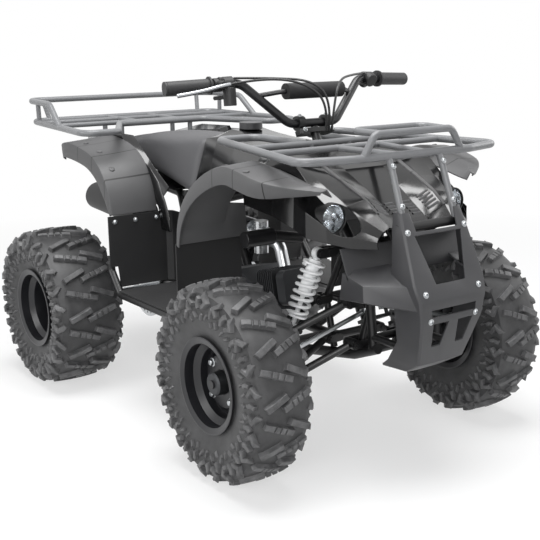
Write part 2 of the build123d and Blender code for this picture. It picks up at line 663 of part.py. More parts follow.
def shell_face(x, half, wall):
    """Band-shaped cross-section at one station: half the outline from the crown out to the hem."""
    outer = [(-w, h) for w, h in reversed(half)] + list(half)
    with BuildSketch(Plane(origin=(x, 0, 0), x_dir=(0, 1, 0), z_dir=(1, 0, 0))) as face:
        with BuildLine():
            Polyline(*outer, *reversed(inward(outer, wall)), close=True)
        make_face()
    return face.sketch


def shell(stations, wall):
    """Panel of even thickness lofted through the stations."""
    loft(sections=[shell_face(x, half, wall) for x, half in stations], ruled=True)


lamp_x = front_x + 99
lamp_y = 188
lamp_z = 624
lamp_radius = 35
cowl_side = 206
nose_stations = [
    (front_x - 190, ((90, 742), (140, 738), (180, 700), (cowl_side, 664), (cowl_side + 1, 640), (cowl_side, 612))),
    (front_x - 64, ((70, 748), (150, 747), (190, 745), (cowl_side, 741), (cowl_side + 1, 660), (cowl_side, 600))),
    (front_x + 30, ((60, 712), (136, 721), (180, 728), (cowl_side, 734), (212, 650), (214, 585))),
    (front_x + 100, ((50, 672), (112, 690), (170, 686), (cowl_side, 678), (230, 636), (230, 576))),
    (front_x + 165, ((46, 634), (108, 662), (160, 652), (200, 640), (222, 610), (218, 572))),
    (front_x + 205, ((44, 612), (106, 634), (140, 622), (170, 606), (184, 590), (180, 562))),
    (front_x + 240, ((40, 590), (98, 606), (118, 598), (132, 586), (136, 576), (134, 560))),
]
with BuildPart() as nose_cowl:
    shell(nose_stations, panel)
    with BuildSketch(Plane(origin=on_stem(stem_length - 20), x_dir=stem_out, z_dir=stem_up)) as opening:
        SlotOverall(100, 60)
    extrude(opening.sketch, amount=-140, mode=Mode.SUBTRACT)
    for side in (1, -1):
        rod((lamp_x - 20, side * lamp_y, lamp_z), (lamp_x + 200, side * lamp_y, lamp_z), lamp_radius + seat_gap,
            mode=Mode.SUBTRACT)
        rod((stem_bay_x, side * 60, 700), (stem_bay_x, side * 60, 760), rack_leg + 2 * seat_gap, mode=Mode.SUBTRACT)
finish(nose_cowl, "nose_cowl")

with BuildPart() as headlights:
    for side in (1, -1):
        with BuildSketch(Plane(origin=(lamp_x - 46, side * lamp_y, lamp_z), z_dir=(1, 0, 0))) as back:
            Circle(20)
        with BuildSketch(Plane(origin=(lamp_x - 8, side * lamp_y, lamp_z), z_dir=(1, 0, 0))) as front:
            Circle(lamp_radius)
        loft(sections=[back.sketch, front.sketch])
        with BuildSketch(Plane(origin=(lamp_x - 8, side * lamp_y, lamp_z), z_dir=(1, 0, 0))) as bezel:
            Circle(lamp_radius)
            Circle(lamp_radius - 3, mode=Mode.SUBTRACT)
        extrude(bezel.sketch, amount=62)
finish(headlights, "headlights")

with BuildPart() as lower_grille:
    with BuildSketch(Plane(origin=(0, 186, 0), x_dir=(1, 0, 0), z_dir=(0, -1, 0))):
        with BuildLine():
            Polyline((front_x + 168, 556), (front_x + 196, 488 + seat_gap), (front_x + 200, 488 + seat_gap),
                     (front_x + 172, 557), close=True)
        make_face()
    extrude(amount=372)
finish(lower_grille, "lower_grille")

# Fender flares: arched bands, high where they meet the body and low at the outer lip


def arch(y, points, centre, wall):
    """Band-shaped cross-section of a flare at one distance from the centre line."""
    inner = []
    for x, z in points:
        away = hypot(centre[0] - x, centre[1] - z)
        inner.append((x + (centre[0] - x) / away * wall, z + (centre[1] - z) / away * wall))
    with BuildSketch(Plane(origin=(0, y, 0), x_dir=(1, 0, 0), z_dir=(0, -1, 0))) as band:
        with BuildLine():
            over = Spline(*points)
            Line(over @ 1, inner[-1])
            Spline(*reversed(inner))
            Line(inner[0], points[0])
        make_face()
    return band.sketch


front_arch = [(-215, 538), (-176, 610), (-130, 662), (-57, 695), (4, 692), (67, 667), (90, 640)]
front_lift = (0, 28, 44)
front_reach = (350, 300, cowl_side + seat_gap)
rear_arch = [(-110, 640), (-60, 690), (0, 722), (60, 724), (110, 690), (160, 610), (205, 528)]
rear_lift = (0, 8, 12)
body_side = 192
rear_reach = (335, 290, body_side + seat_gap)
for side, word in ((1, "left"), (-1, "right")):
    for name, base, outline, lifts, reaches in (
        ("front", front_x, front_arch, front_lift, front_reach),
        ("rear", rear_x, rear_arch, rear_lift, rear_reach),
    ):
        with BuildPart() as flare:
            faces = []
            for lift, reach in zip(lifts, reaches):
                points = [(base + x * (1 + lift / 400), z + lift) for x, z in outline]
                faces.append(arch(side * reach, points, (base - 20, 480), panel))
            loft(sections=faces, ruled=True)
        finish(flare, f"{name}_fender_{word}")

# Seat, tank cover and tail
seat_stations = [
    (rear_x - 165, (40, 80, 92), (694, 690, 664)),
    (rear_x - 60, (60, 94, 108), (712, 704, 660)),
    (rear_x + 100, (60, 108, 130), (732, 724, 650)),
    (rear_x + 240, (60, 104, 130), (736, 728, 622)),
    (rear_x + 364 - seat_gap, (50, 84, 122), (742, 732, 590)),
]


def block_face(x, widths, heights, foot_z):
    """Closed cross-section with a flat underside."""
    left = [(-w, h) for w, h in reversed(list(zip(widths, heights)))]
    with BuildSketch(Plane(origin=(x, 0, 0), x_dir=(0, 1, 0), z_dir=(1, 0, 0))) as face:
        with BuildLine():
            Polyline(*zip(widths, heights), (widths[-1], foot_z), (-widths[-1], foot_z), *left, close=True)
        make_face()
    return face.sketch


with BuildPart() as seat:
    loft(sections=[block_face(x, w, h, h[-1] - 12) for x, w, h in seat_stations], ruled=True)
finish(seat, "seat")

tank_stations = [
    (rear_x + 364, ((40, 744), (80, 738), (126, 600))),
    (rear_x + 450, ((50, 768), (96, 750), (140, 612))),
    (rear_x + 560, ((36, 758), (110, 742), (150, 630))),
    (front_x - 194, ((60, 746), (140, 738), (180, 650))),
]
with BuildPart() as tank_cover:
    shell(tank_stations, panel)
finish(tank_cover, "tank_cover")

cap_x = rear_x + 470
with BuildPart() as fuel_cap:
    with BuildSketch(Plane(origin=(cap_x, 0, 768 + seat_gap))):
        Circle(32)
    extrude(amount=18)
finish(fuel_cap, "fuel_cap")

tail_stations = [
    (rear_x - 230, ((60, 638), (120, 642), (140, 690), (body_side - 30, 700), (body_side - 30, 610))),
    (rear_x - 110, ((60, 622), (134, 628), (146, 712), (body_side, 728), (body_side, 600))),
    (rear_x + 60, ((60, 612), (136, 618), (150, 726), (body_side, 735), (body_side, 590))),
    (rear_x + 190, ((60, 592), (138, 598), (152, 640), (body_side, 600), (body_side, 552))),
    (rear_x + 256, ((60, 584), (130, 586), (146, 592), (176, 560), (176, 540))),
]
with BuildPart() as rear_body:
    shell(tail_stations, panel)
    for top, knee, foot in leg_routes:
        rod(knee, foot, rack_leg + 1, mode=Mode.SUBTRACT)
finish(rear_body, "rear_body")

with BuildPart() as tail_light:
    with BuildSketch(Plane(origin=(rear_x - 230 - seat_gap, 0, 632), x_dir=(0, 1, 0), z_dir=(-1, 0, 0))):
        RectangleRounded(110, 34, 12)
    extrude(amount=18)
finish(tail_light, "tail_light")

# Footwells: rear tub with its inner wall and floor, and the mud panel behind the front tyre
well_inner = 152
well_outer = 346
for side, word in ((1, "left"), (-1, "right")):
    with BuildPart() as footwell:
        with BuildSketch(Plane.XY.offset(well_floor)) as plan:
            with BuildLine():
                Polyline((well_back, side * well_outer), (well_back, side * (well_inner + 14)),
                         (well_back + 14, side * well_inner), (well_back + 130, side * well_inner),
                         (well_back + 130, side * (well_inner - panel)),
                         (well_back + 12, side * (well_inner - panel)),
                         (well_back - panel, side * (well_inner + 12)),
                         (well_back - panel, side * well_outer), close=True)
            make_face()
        extrude(plan.sketch, amount=528 - well_floor)
        with BuildSketch(Plane.XY.offset(well_floor)) as floor:
            with BuildLine():
                Polyline((well_back + 47, side * well_outer), (well_front - 30, side * well_outer),
                         (well_front - 4, side * 290),
                         (well_front - 4, side * well_inner), (well_back + 47, side * well_inner), close=True)
            make_face()
        extrude(floor.sketch, amount=panel)
        with BuildSketch(Plane(origin=(well_front, 0, 0), x_dir=(0, 1, 0), z_dir=(1, 0, 0))) as front_wall:
            with BuildLine():
                Polyline((side * well_inner, well_floor), (side * well_outer, well_floor),
                         (side * well_outer, 512), (side * well_inner, 512), close=True)
            make_face()
        extrude(front_wall.sketch, amount=-panel)
        with BuildSketch(Plane(origin=(well_back - 40, 0, 0), x_dir=(0, 1, 0), z_dir=(1, 0, 0))) as heel:
            with BuildLine():
                Polyline((side * 310, 0), (side * 318, 350), (side * 322, 384), (side * 400, 384), (side * 400, 0),
                         close=True)
            make_face()
        extrude(heel.sketch, amount=86, mode=Mode.SUBTRACT)
    finish(footwell, f"footwell_{word}")

# Handlebar and controls
low_bend = Vector(bar_seat.X, 73, bar_seat.Z)
high_bend = Vector(front_x - 222, 188, 909)
bar_end = Vector(front_x - 254, 376, 901)
bar_half = [tuple(bar_end), tuple(high_bend), tuple(low_bend)]
with BuildPart() as handlebar:
    tube(bar_half + [(x, -y, z) for x, y, z in reversed(bar_half)], bar_radius, 44)
    tube([(high_bend.X + 8, 150, 876), (high_bend.X + 52, 96, 888), (high_bend.X + 52, -96, 888),
          (high_bend.X + 8, -150, 876)], 6, 30)
finish(handlebar, "handlebar")

pad_x = high_bend.X + 52
with BuildPart() as bar_pad:
    with BuildSketch(Plane(origin=(pad_x, -88, 888), z_dir=(0, 1, 0))):
        Circle(20)
        Circle(6 + seat_gap, mode=Mode.SUBTRACT)
    extrude(amount=176)
finish(bar_pad, "bar_pad")

grip_axis = (bar_end - high_bend).normalized()
with BuildPart() as grips:
    for side in (1, -1):
        way = Vector(grip_axis.X, side * grip_axis.Y, grip_axis.Z)
        end = Vector(bar_end.X, side * bar_end.Y, bar_end.Z)
        with BuildSketch(Plane(origin=end - way * 112, z_dir=way)) as ring_face:
            Circle(17)
            Circle(bar_radius + seat_gap, mode=Mode.SUBTRACT)
        extrude(ring_face.sketch, amount=112)
        with BuildSketch(Plane(origin=end - way * 112, z_dir=way)) as flange:
            Circle(22)
            Circle(bar_radius + seat_gap, mode=Mode.SUBTRACT)
        extrude(flange.sketch, amount=5)
        with BuildSketch(Plane(origin=end + way * 0.5, z_dir=way)) as cap:
            Circle(17)
        extrude(cap.sketch, amount=5)
finish(grips, "grips")
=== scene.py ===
"""Looks of a youth utility quad bike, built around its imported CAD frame.

Lengths are in metres, in the CAD frame: +X forward, +Y to the rider's left, +Z up, ground at z = 0.
"""
import json
from math import atan2, cos, hypot, pi, radians, sin

import bmesh
import bpy
from mathutils import Matrix, Vector
from mathutils.bvhtree import BVHTree


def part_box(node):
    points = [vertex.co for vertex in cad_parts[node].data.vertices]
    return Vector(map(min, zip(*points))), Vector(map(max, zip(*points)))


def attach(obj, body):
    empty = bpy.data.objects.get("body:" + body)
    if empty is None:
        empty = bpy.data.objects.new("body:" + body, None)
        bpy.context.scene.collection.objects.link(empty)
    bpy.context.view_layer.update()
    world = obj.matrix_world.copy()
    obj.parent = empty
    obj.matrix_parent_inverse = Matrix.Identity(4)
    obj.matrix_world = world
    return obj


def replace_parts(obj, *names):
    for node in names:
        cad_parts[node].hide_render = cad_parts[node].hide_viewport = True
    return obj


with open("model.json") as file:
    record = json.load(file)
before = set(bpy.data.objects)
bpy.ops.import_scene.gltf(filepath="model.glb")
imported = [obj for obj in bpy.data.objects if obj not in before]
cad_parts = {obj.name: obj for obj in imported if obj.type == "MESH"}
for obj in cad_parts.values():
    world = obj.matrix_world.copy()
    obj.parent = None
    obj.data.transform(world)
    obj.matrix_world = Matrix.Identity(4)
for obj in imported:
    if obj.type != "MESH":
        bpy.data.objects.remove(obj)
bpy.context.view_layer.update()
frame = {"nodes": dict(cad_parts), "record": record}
nodes = frame["nodes"]
MM = 0.001

# The sides of the quad: 1 is the rider's left, -1 the right
both = (1, -1)
sides = ((1, "left"), (-1, "right"))

# Axle lines, read from the frame
front_axle = sum(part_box("front_tyre_left"), Vector()) / 2
rear_axle = sum(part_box("rear_tyre_left"), Vector()) / 2
front_x = front_axle.x
rear_x = rear_axle.x


# Camera and studio

camera_data = bpy.data.cameras.new("camera")
camera = bpy.data.objects.new("camera", camera_data)
bpy.context.scene.collection.objects.link(camera)
bpy.context.scene.camera = camera
camera_data.lens = 68.72
camera_data.sensor_width = 36
camera_data.shift_x = -0.135
camera_yaw = radians(38.752)
camera_pitch = radians(13.437)
camera.location = (2.8777 + rear_x, -1.6044, 1.0519)
view_line = Vector((-cos(camera_yaw) * cos(camera_pitch), sin(camera_yaw) * cos(camera_pitch),
                    -sin(camera_pitch)))
camera.rotation_euler = view_line.to_track_quat("-Z", "Y").to_euler()


def linear(code):
    """Linear colour for a shader socket from an sRGB hex value."""
    channels = [int(code[i:i + 2], 16) / 255 for i in (0, 2, 4)]
    return tuple(c / 12.92 if c <= 0.04045 else ((c + 0.055) / 1.055) ** 2.4 for c in channels) + (1.0,)


def add_node(tree, kind, sockets=None, links=None, **settings):
    """Adds one node with its settings, its sockets' own values and the outputs that feed it."""
    made = tree.nodes.new(kind)
    for name, value in settings.items():
        setattr(made, name, value)
    for name, value in (sockets or {}).items():
        made.inputs[name].default_value = value
    for name, output in (links or {}).items():
        tree.links.new(output, made.inputs[name])
    return made


def new_material(name):
    """Empty node material with its surface shader and output."""
    material = bpy.data.materials.new(name)
    material.use_nodes = True
    tree = material.node_tree
    tree.nodes.clear()
    shader = add_node(tree, "ShaderNodeBsdfPrincipled")
    add_node(tree, "ShaderNodeOutputMaterial", links={"Surface": shader.outputs["BSDF"]})
    return material, tree, shader


def area_lamp(name, place, aim, size, power):
    """Soft rectangular lamp that looks at a point."""
    data = bpy.data.lights.new(name, "AREA")
    data.shape = "RECTANGLE"
    data.size, data.size_y = size
    data.energy = power
    lamp = bpy.data.objects.new(name, data)
    lamp.location = place
    lamp.rotation_euler = (Vector(aim) - Vector(place)).to_track_quat("-Z", "Y").to_euler()
    bpy.context.scene.collection.objects.link(lamp)


area_lamp("overhead_softbox", (0.3, -0.2, 3.6), (0, 0, 0.4), (2.6, 1.9), 150)
area_lamp("front_softbox", (3.4, -2.6, 2.0), (0.1, 0, 0.4), (2.0, 1.6), 78)
area_lamp("side_softbox", (-0.6, -3.8, 1.8), (0, 0, 0.4), (2.4, 1.4), 44)
area_lamp("left_softbox", (0.8, 3.6, 2.0), (0, 0, 0.4), (2.2, 1.4), 30)


def sees_backdrop(tree):
    """1 for a ray from the camera, through glass or off a glossy surface: all of these see plain white."""
    path = add_node(tree, "ShaderNodeLightPath")
    through = add_node(tree, "ShaderNodeMath", operation="MAXIMUM",
                       links={0: path.outputs["Is Camera Ray"], 1: path.outputs["Is Transmission Ray"]})
    seen = add_node(tree, "ShaderNodeMath", operation="MAXIMUM",
                    links={0: through.outputs[0], 1: path.outputs["Is Glossy Ray"]})
    return seen.outputs[0]


world = bpy.data.worlds.new("studio")
bpy.context.scene.world = world
world.use_nodes = True
sky = world.node_tree
sky.nodes.clear()
fill = add_node(sky, "ShaderNodeBackground", {"Color": linear("E9EBEE"), "Strength": 0.22})
backdrop = add_node(sky, "ShaderNodeBackground", {"Color": linear("FFFFFF"), "Strength": 1.0})
choice = add_node(sky, "ShaderNodeMixShader",
                  links={0: sees_backdrop(sky), 1: fill.outputs[0], 2: backdrop.outputs[0]})
add_node(sky, "ShaderNodeOutputWorld", links={"Surface": choice.outputs[0]})

bpy.context.scene.view_settings.view_transform = "Standard"

floor_half = 14
floor_mesh = bpy.data.meshes.new("studio_floor")
floor_mesh.from_pydata([(floor_half * x, floor_half * y, 0) for x, y in ((-1, -1), (1, -1), (1, 1), (-1, 1))],
                       [], [(0, 1, 2, 3)])
studio_floor = bpy.data.objects.new("studio_floor", floor_mesh)
bpy.context.scene.collection.objects.link(studio_floor)
# Matt white paper sweep: under the quad 60 % of what is seen is plain white and the rest is lit paper, which
# keeps a pale shadow; from 1.1 m to 3.2 m out it passes into plain white, so the floor has no edge
paper = bpy.data.materials.new("matt_white_paper")
paper.use_nodes = True
tree = paper.node_tree
tree.nodes.clear()
lit = add_node(tree, "ShaderNodeBsdfDiffuse", {"Color": linear("F4F4F4")})
plain = add_node(tree, "ShaderNodeEmission", {"Color": linear("FFFFFF"), "Strength": 1.0})
floor_place = add_node(tree, "ShaderNodeTexCoord").outputs["Object"]
reach = add_node(tree, "ShaderNodeVectorMath", links={0: floor_place}, operation="LENGTH")
fade = add_node(tree, "ShaderNodeMapRange", {"From Min": 1.1, "From Max": 3.2, "To Min": 0.6, "To Max": 1.0},
                {"Value": reach.outputs["Value"]})
share = add_node(tree, "ShaderNodeMath", links={0: sees_backdrop(tree), 1: fade.outputs[0]},
                 operation="MULTIPLY")
mixed = add_node(tree, "ShaderNodeMixShader",
                 links={0: share.outputs[0], 1: lit.outputs[0], 2: plain.outputs[0]})
add_node(tree, "ShaderNodeOutputMaterial", links={"Surface": mixed.outputs[0]})
floor_mesh.materials.append(paper)


# Materials


def moulded_plastic(name, colour, pale, roughness, grain_mm, depth_mm, edge_mm=1.2, coat=0.0):
    """Injection-moulded plastic: spark-eroded grain breaks the gloss, edges catch a thin light line."""
    material, tree, shader = new_material(name)
    place = add_node(tree, "ShaderNodeTexCoord").outputs["Object"]
    # patches of tone and gloss about 110 mm wide
    cloud = add_node(tree, "ShaderNodeTexNoise", {"Scale": 9.0, "Detail": 3.0, "Roughness": 0.6},
                     {"Vector": place})
    tint = add_node(tree, "ShaderNodeMix", {"Factor": 0.0, 6: linear(colour), 7: linear(pale)},
                    {"Factor": cloud.outputs[0]}, data_type="RGBA")
    # the real grain is about 0.3 mm wide, too fine for the render, so it is drawn coarser
    grain = add_node(tree, "ShaderNodeTexNoise", {"Scale": 1000 / grain_mm, "Detail": 2.0, "Roughness": 0.5},
                     {"Vector": place})
    edge = add_node(tree, "ShaderNodeBevel", {"Radius": edge_mm * MM}, samples=4)
    bump = add_node(tree, "ShaderNodeBump", {"Strength": 0.6, "Distance": depth_mm * MM},
                    {"Height": grain.outputs[0], "Normal": edge.outputs[0]})
    gloss = add_node(tree, "ShaderNodeMapRange", {"To Min": roughness - 0.07, "To Max": roughness + 0.09},
                     {"Value": cloud.outputs[0]})
    shader.inputs["IOR"].default_value = 1.49
    shader.inputs["Coat Weight"].default_value = coat
    shader.inputs["Coat Roughness"].default_value = 0.08
    tree.links.new(tint.outputs[2], shader.inputs["Base Color"])
    tree.links.new(gloss.outputs[0], shader.inputs["Roughness"])
    tree.links.new(bump.outputs[0], shader.inputs["Normal"])
    return material


def painted_steel(name, colour, pale, roughness, edge_mm=0.8):
    """Powder-coated steel: slight orange peel under an even satin gloss."""
    material, tree, shader = new_material(name)
    place = add_node(tree, "ShaderNodeTexCoord").outputs["Object"]
    # patches of tone and gloss about 70 mm wide, under orange peel 2.2 mm wide
    cloud = add_node(tree, "ShaderNodeTexNoise", {"Scale": 14.0, "Detail": 4.0}, {"Vector": place})
    tint = add_node(tree, "ShaderNodeMix", {"Factor": 0.0, 6: linear(colour), 7: linear(pale)},
                    {"Factor": cloud.outputs[0]}, data_type="RGBA")
    peel = add_node(tree, "ShaderNodeTexNoise", {"Scale": 1000 / 2.2, "Detail": 1.0}, {"Vector": place})
    edge = add_node(tree, "ShaderNodeBevel", {"Radius": edge_mm * MM}, samples=4)
    bump = add_node(tree, "ShaderNodeBump", {"Strength": 0.35, "Distance": 0.12 * MM},
                    {"Height": peel.outputs[0], "Normal": edge.outputs[0]})
    gloss = add_node(tree, "ShaderNodeMapRange", {"To Min": roughness - 0.05, "To Max": roughness + 0.07},
                     {"Value": cloud.outputs[0]})
    shader.inputs["IOR"].default_value = 1.5
    tree.links.new(tint.outputs[2], shader.inputs["Base Color"])
    tree.links.new(gloss.outputs[0], shader.inputs["Roughness"])
    tree.links.new(bump.outputs[0], shader.inputs["Normal"])
    return material


def bare_metal(name, colour, roughness, grain_mm, depth_mm, edge_mm=0.6):
    """Metal with the surface its process leaves: cast skin, turned or plated."""
    material, tree, shader = new_material(name)
    place = add_node(tree, "ShaderNodeTexCoord").outputs["Object"]
    skin = add_node(tree, "ShaderNodeTexNoise", {"Scale": 1000 / grain_mm, "Detail": 3.0}, {"Vector": place})
    # patches of gloss about 45 mm wide
    cloud = add_node(tree, "ShaderNodeTexNoise", {"Scale": 22.0, "Detail": 3.0}, {"Vector": place})
    edge = add_node(tree, "ShaderNodeBevel", {"Radius": edge_mm * MM}, samples=4)
    bump = add_node(tree, "ShaderNodeBump", {"Strength": 0.5, "Distance": depth_mm * MM},
                    {"Height": skin.outputs[0], "Normal": edge.outputs[0]})
    gloss = add_node(tree, "ShaderNodeMapRange", {"To Min": roughness - 0.08, "To Max": roughness + 0.1},
                     {"Value": cloud.outputs[0]})
    shader.inputs["Base Color"].default_value = linear(colour)
    shader.inputs["Metallic"].default_value = 1.0
    tree.links.new(gloss.outputs[0], shader.inputs["Roughness"])
    tree.links.new(bump.outputs[0], shader.inputs["Normal"])
    return material


def moulded_rubber(name, colour, dusty, roughness, dust_mm):
    """Vulcanised rubber: matt, with a faint bloom of dust in patches and a fine mould skin."""
    material, tree, shader = new_material(name)
    place = add_node(tree, "ShaderNodeTexCoord").outputs["Object"]
    bloom = add_node(tree, "ShaderNodeTexNoise", {"Scale": 1000 / dust_mm, "Detail": 6.0, "Roughness": 0.65},
                     {"Vector": place})
    patch = add_node(tree, "ShaderNodeMapRange", {"From Min": 0.35, "From Max": 0.75},
                     {"Value": bloom.outputs[0]})
    tint = add_node(tree, "ShaderNodeMix", {"Factor": 0.0, 6: linear(colour), 7: linear(dusty)},
                    {"Factor": patch.outputs[0]}, data_type="RGBA")
    # the mould's skin is far finer than 1.6 mm, which is what the render can show
    skin = add_node(tree, "ShaderNodeTexNoise", {"Scale": 1000 / 1.6, "Detail": 2.0}, {"Vector": place})
    edge = add_node(tree, "ShaderNodeBevel", {"Radius": 1.4 * MM}, samples=4)
    bump = add_node(tree, "ShaderNodeBump", {"Strength": 0.4, "Distance": 0.2 * MM},
                    {"Height": skin.outputs[0], "Normal": edge.outputs[0]})
    shader.inputs["Roughness"].default_value = roughness
    shader.inputs["IOR"].default_value = 1.52
    tree.links.new(tint.outputs[2], shader.inputs["Base Color"])
    tree.links.new(bump.outputs[0], shader.inputs["Normal"])
    return material


def marine_vinyl():
    """PVC-coated cloth stretched over foam: an embossed pebble grain breaks its soft satin gloss."""
    material, tree, shader = new_material("embossed_pvc_seat_cover")
    place = add_node(tree, "ShaderNodeTexCoord").outputs["Object"]
    # the real pebbles are about 1.5 mm wide and are drawn 2.6 mm wide, so that they show
    pebble = add_node(tree, "ShaderNodeTexVoronoi", {"Scale": 1000 / 2.6}, {"Vector": place},
                      feature="DISTANCE_TO_EDGE")
    groove = add_node(tree, "ShaderNodeMapRange", {"From Max": 0.25}, {"Value": pebble.outputs[0]})
    # patches of wear about 80 mm wide
    cloud = add_node(tree, "ShaderNodeTexNoise", {"Scale": 12.0, "Detail": 3.0}, {"Vector": place})
    tint = add_node(tree, "ShaderNodeMix", {"Factor": 0.0, 6: linear("434345"), 7: linear("4E4E50")},
                    {"Factor": cloud.outputs[0]}, data_type="RGBA")
    bump = add_node(tree, "ShaderNodeBump", {"Strength": 0.7, "Distance": 0.25 * MM},
                    {"Height": groove.outputs[0]})
    gloss = add_node(tree, "ShaderNodeMapRange", {"To Min": 0.42, "To Max": 0.6}, {"Value": cloud.outputs[0]})
    shader.inputs["IOR"].default_value = 1.5
    tree.links.new(tint.outputs[2], shader.inputs["Base Color"])
    tree.links.new(gloss.outputs[0], shader.inputs["Roughness"])
    tree.links.new(bump.outputs[0], shader.inputs["Normal"])
    return material


def clear_lens(name, colour, roughness):
    """Injection-moulded polycarbonate lens: flutes break the light into bars under a clear gloss."""
    material, tree, shader = new_material(name)
    place = add_node(tree, "ShaderNodeTexCoord").outputs["Object"]
    # flutes about 8 mm apart, because the wave pattern repeats a little over three times in a unit
    flutes = add_node(tree, "ShaderNodeTexWave", {"Scale": 1000 / 26.0, "Distortion": 0.0}, {"Vector": place},
                      bands_direction="Y")
    bump = add_node(tree, "ShaderNodeBump", {"Strength": 0.4, "Distance": 0.6 * MM},
                    {"Height": flutes.outputs[0]})
    shader.inputs["Base Color"].default_value = linear(colour)
    shader.inputs["Roughness"].default_value = roughness
    shader.inputs["IOR"].default_value = 1.58
    shader.inputs["Coat Weight"].default_value = 1.0
    shader.inputs["Coat Roughness"].default_value = 0.03
    tree.links.new(bump.outputs[0], shader.inputs["Normal"])
    return material


def clear_cover(name):
    """Clear polycarbonate dome, injection moulded and hard coated: glassy, so the bowl shows through it."""
    material, _, shader = new_material(name)
    shader.inputs["Base Color"].default_value = linear("F6F8FA")
    shader.inputs["Roughness"].default_value = 0.03
    shader.inputs["IOR"].default_value = 1.3
    shader.inputs["Transmission Weight"].default_value = 1.0
    return material


def jointed(material, places):
    """Moulding joints across a plastic part: narrow dark grooves at distances ahead of the origin."""
    tree = material.node_tree
    shader = next(n for n in tree.nodes if n.type == "BSDF_PRINCIPLED")
    apart = add_node(tree, "ShaderNodeSeparateXYZ",
                     links={0: add_node(tree, "ShaderNodeTexCoord").outputs["Object"]})
    mask = None
    for place in places:
        line = add_node(tree, "ShaderNodeMath", {1: place, 2: 1.3 * MM}, {0: apart.outputs["X"]},
                        operation="COMPARE")
        mask = line if mask is None else add_node(tree, "ShaderNodeMath", operation="MAXIMUM",
                                                  links={0: mask.outputs[0], 1: line.outputs[0]})
    tint = shader.inputs["Base Color"].links[0].from_socket
    dark = add_node(tree, "ShaderNodeMix", {7: linear("0A0A0A")}, {"Factor": mask.outputs[0], 6: tint},
                    data_type="RGBA")
    tree.links.new(dark.outputs[2], shader.inputs["Base Color"])


# Grain eroded into the mould leaves the flares a soft grey sheen with pale worn edges
flare_plastic = moulded_plastic("grained_black_polypropylene", "454546", "505051", 0.48, 1.1, 0.12, 1.6)
# places of the flares' joints ahead of the rear axle: three on the front fender, three on the rear
jointed(flare_plastic, [rear_x + x * MM for x in (830, 917, 1014, 70, 158, 231)])
# Glass-filled nylon comes out of the mould darker and a little glossier than the flares
guard_plastic = moulded_plastic("satin_black_nylon", "343436", "3E3E40", 0.42, 1.2, 0.1, 2.0)
# A polished mould gives the cowl a deep black gloss with a slow ripple in its reflections
cowl_plastic = moulded_plastic("gloss_black_abs", "0B0B0C", "101011", 0.14, 6.0, 0.02, 1.6, coat=0.25)
# Moulded polyethylene is flat black and takes hardly any highlight
mud_plastic = moulded_plastic("matt_black_polyethylene", "151516", "1C1C1D", 0.6, 1.4, 0.14, 1.2)
# Switchgear has a fine even grain, so its small bodies read as matt black
control_plastic = moulded_plastic("matt_black_nylon_switchgear", "141415", "1B1B1C", 0.5, 0.9, 0.08, 0.8)
# Powder coat flows into a thick black skin that rounds every weld and edge
frame_paint = painted_steel("powder_coated_black_steel", "101011", "171718", 0.36)
# The racks' lighter powder coat shows one long even highlight along each tube
rack_paint = painted_steel("powder_coated_grey_steel", "6A6B6D", "767779", 0.34)
# Paint sprayed thinly over pressed steel keeps the pressing crisp, and shines more than the tyre
rim_paint = painted_steel("satin_black_pressed_steel", "17171A", "1F1F22", 0.32)
# Baked enamel keeps the coils bright white against the black dampers
spring_paint = painted_steel("enamelled_white_spring_steel", "E0E1E2", "ECEDEE", 0.3)
# Satin paint on drawn tube, with a narrow highlight along the bend
bar_paint = painted_steel("satin_black_bar_steel", "131315", "1A1A1C", 0.34)
# Sand-cast skin under grey paint: dull, slightly rough metal between the fins
engine_casting = bare_metal("painted_cast_aluminium", "4A4B4D", 0.5, 1.8, 0.2)
# Die-cast and bright, so small parts flash where they face a lamp
zinc_casting = bare_metal("bright_cast_zinc", "C6C8CA", 0.28, 1.5, 0.08)
# Plating leaves rods and fasteners pale and smooth against the black parts
zinc_plate = bare_metal("zinc_plated_steel", "B9BCBE", 0.3, 0.8, 0.03)
# Ground faces mirror what is around them softly
disc_steel = bare_metal("ground_stainless_steel", "BFC1C3", 0.26, 0.7, 0.02)
# Hard chrome gives the lever a sharp, narrow highlight
lever_chrome = bare_metal("chromed_lever_steel", "B4B6B9", 0.22, 1.0, 0.02)
# Black enamel over a spun canister, with a clean highlight down its side
filter_paint = painted_steel("satin_black_filter_steel", "161617", "1D1D1F", 0.34)
# Heat-resistant paint chalks as it ages, so the silencer is dull and even
exhaust_paint = painted_steel("heat_resistant_black_steel", "1A1A1B", "232324", 0.5)
# Painted iron castings keep a soft, slightly uneven sheen
knuckle_iron = painted_steel("painted_cast_iron", "1B1B1D", "232325", 0.45)
# The casing comes dull from its mould, with a faint bloom of dust in patches; it is coloured darker than the
# lugs as painted shade on the side walls
tyre_rubber = moulded_rubber("vulcanised_tyre_rubber", "2A2A2B", "434344", 0.56, 60)
# Lugs are coloured paler than the casing as a painted highlight on the tread, and are a little less rough
lug_rubber = moulded_rubber("painted_highlight_tread_rubber", "3A3A3B", "666667", 0.5, 35)
# Soft rubber swallows the light and stays nearly black
grip_rubber = moulded_rubber("soft_grip_rubber", "1B1B1C", "262627", 0.58, 30)
# Extruded PVC is smooth, with a thin satin line along the cable
cable_sheath = moulded_rubber("pvc_cable_sheath", "111112", "19191A", 0.45, 40)
# Woven nylon over foam has no gloss, so the pad reads softer than the bar
pad_foam = moulded_plastic("nylon_covered_foam", "161617", "202021", 0.7, 0.9, 0.12, 1.0)
# Flutes and a clear gloss make the bulbs glint
lamp_lens = clear_lens("fluted_polycarbonate_lens", "D8DADC", 0.08)
# Aluminium evaporated on a smooth bowl: each facet mirrors a different part of the room
lamp_silver = bare_metal("vacuum_metallised_lamp_bowl", "E6E8EA", 0.12, 1.0, 0.01)
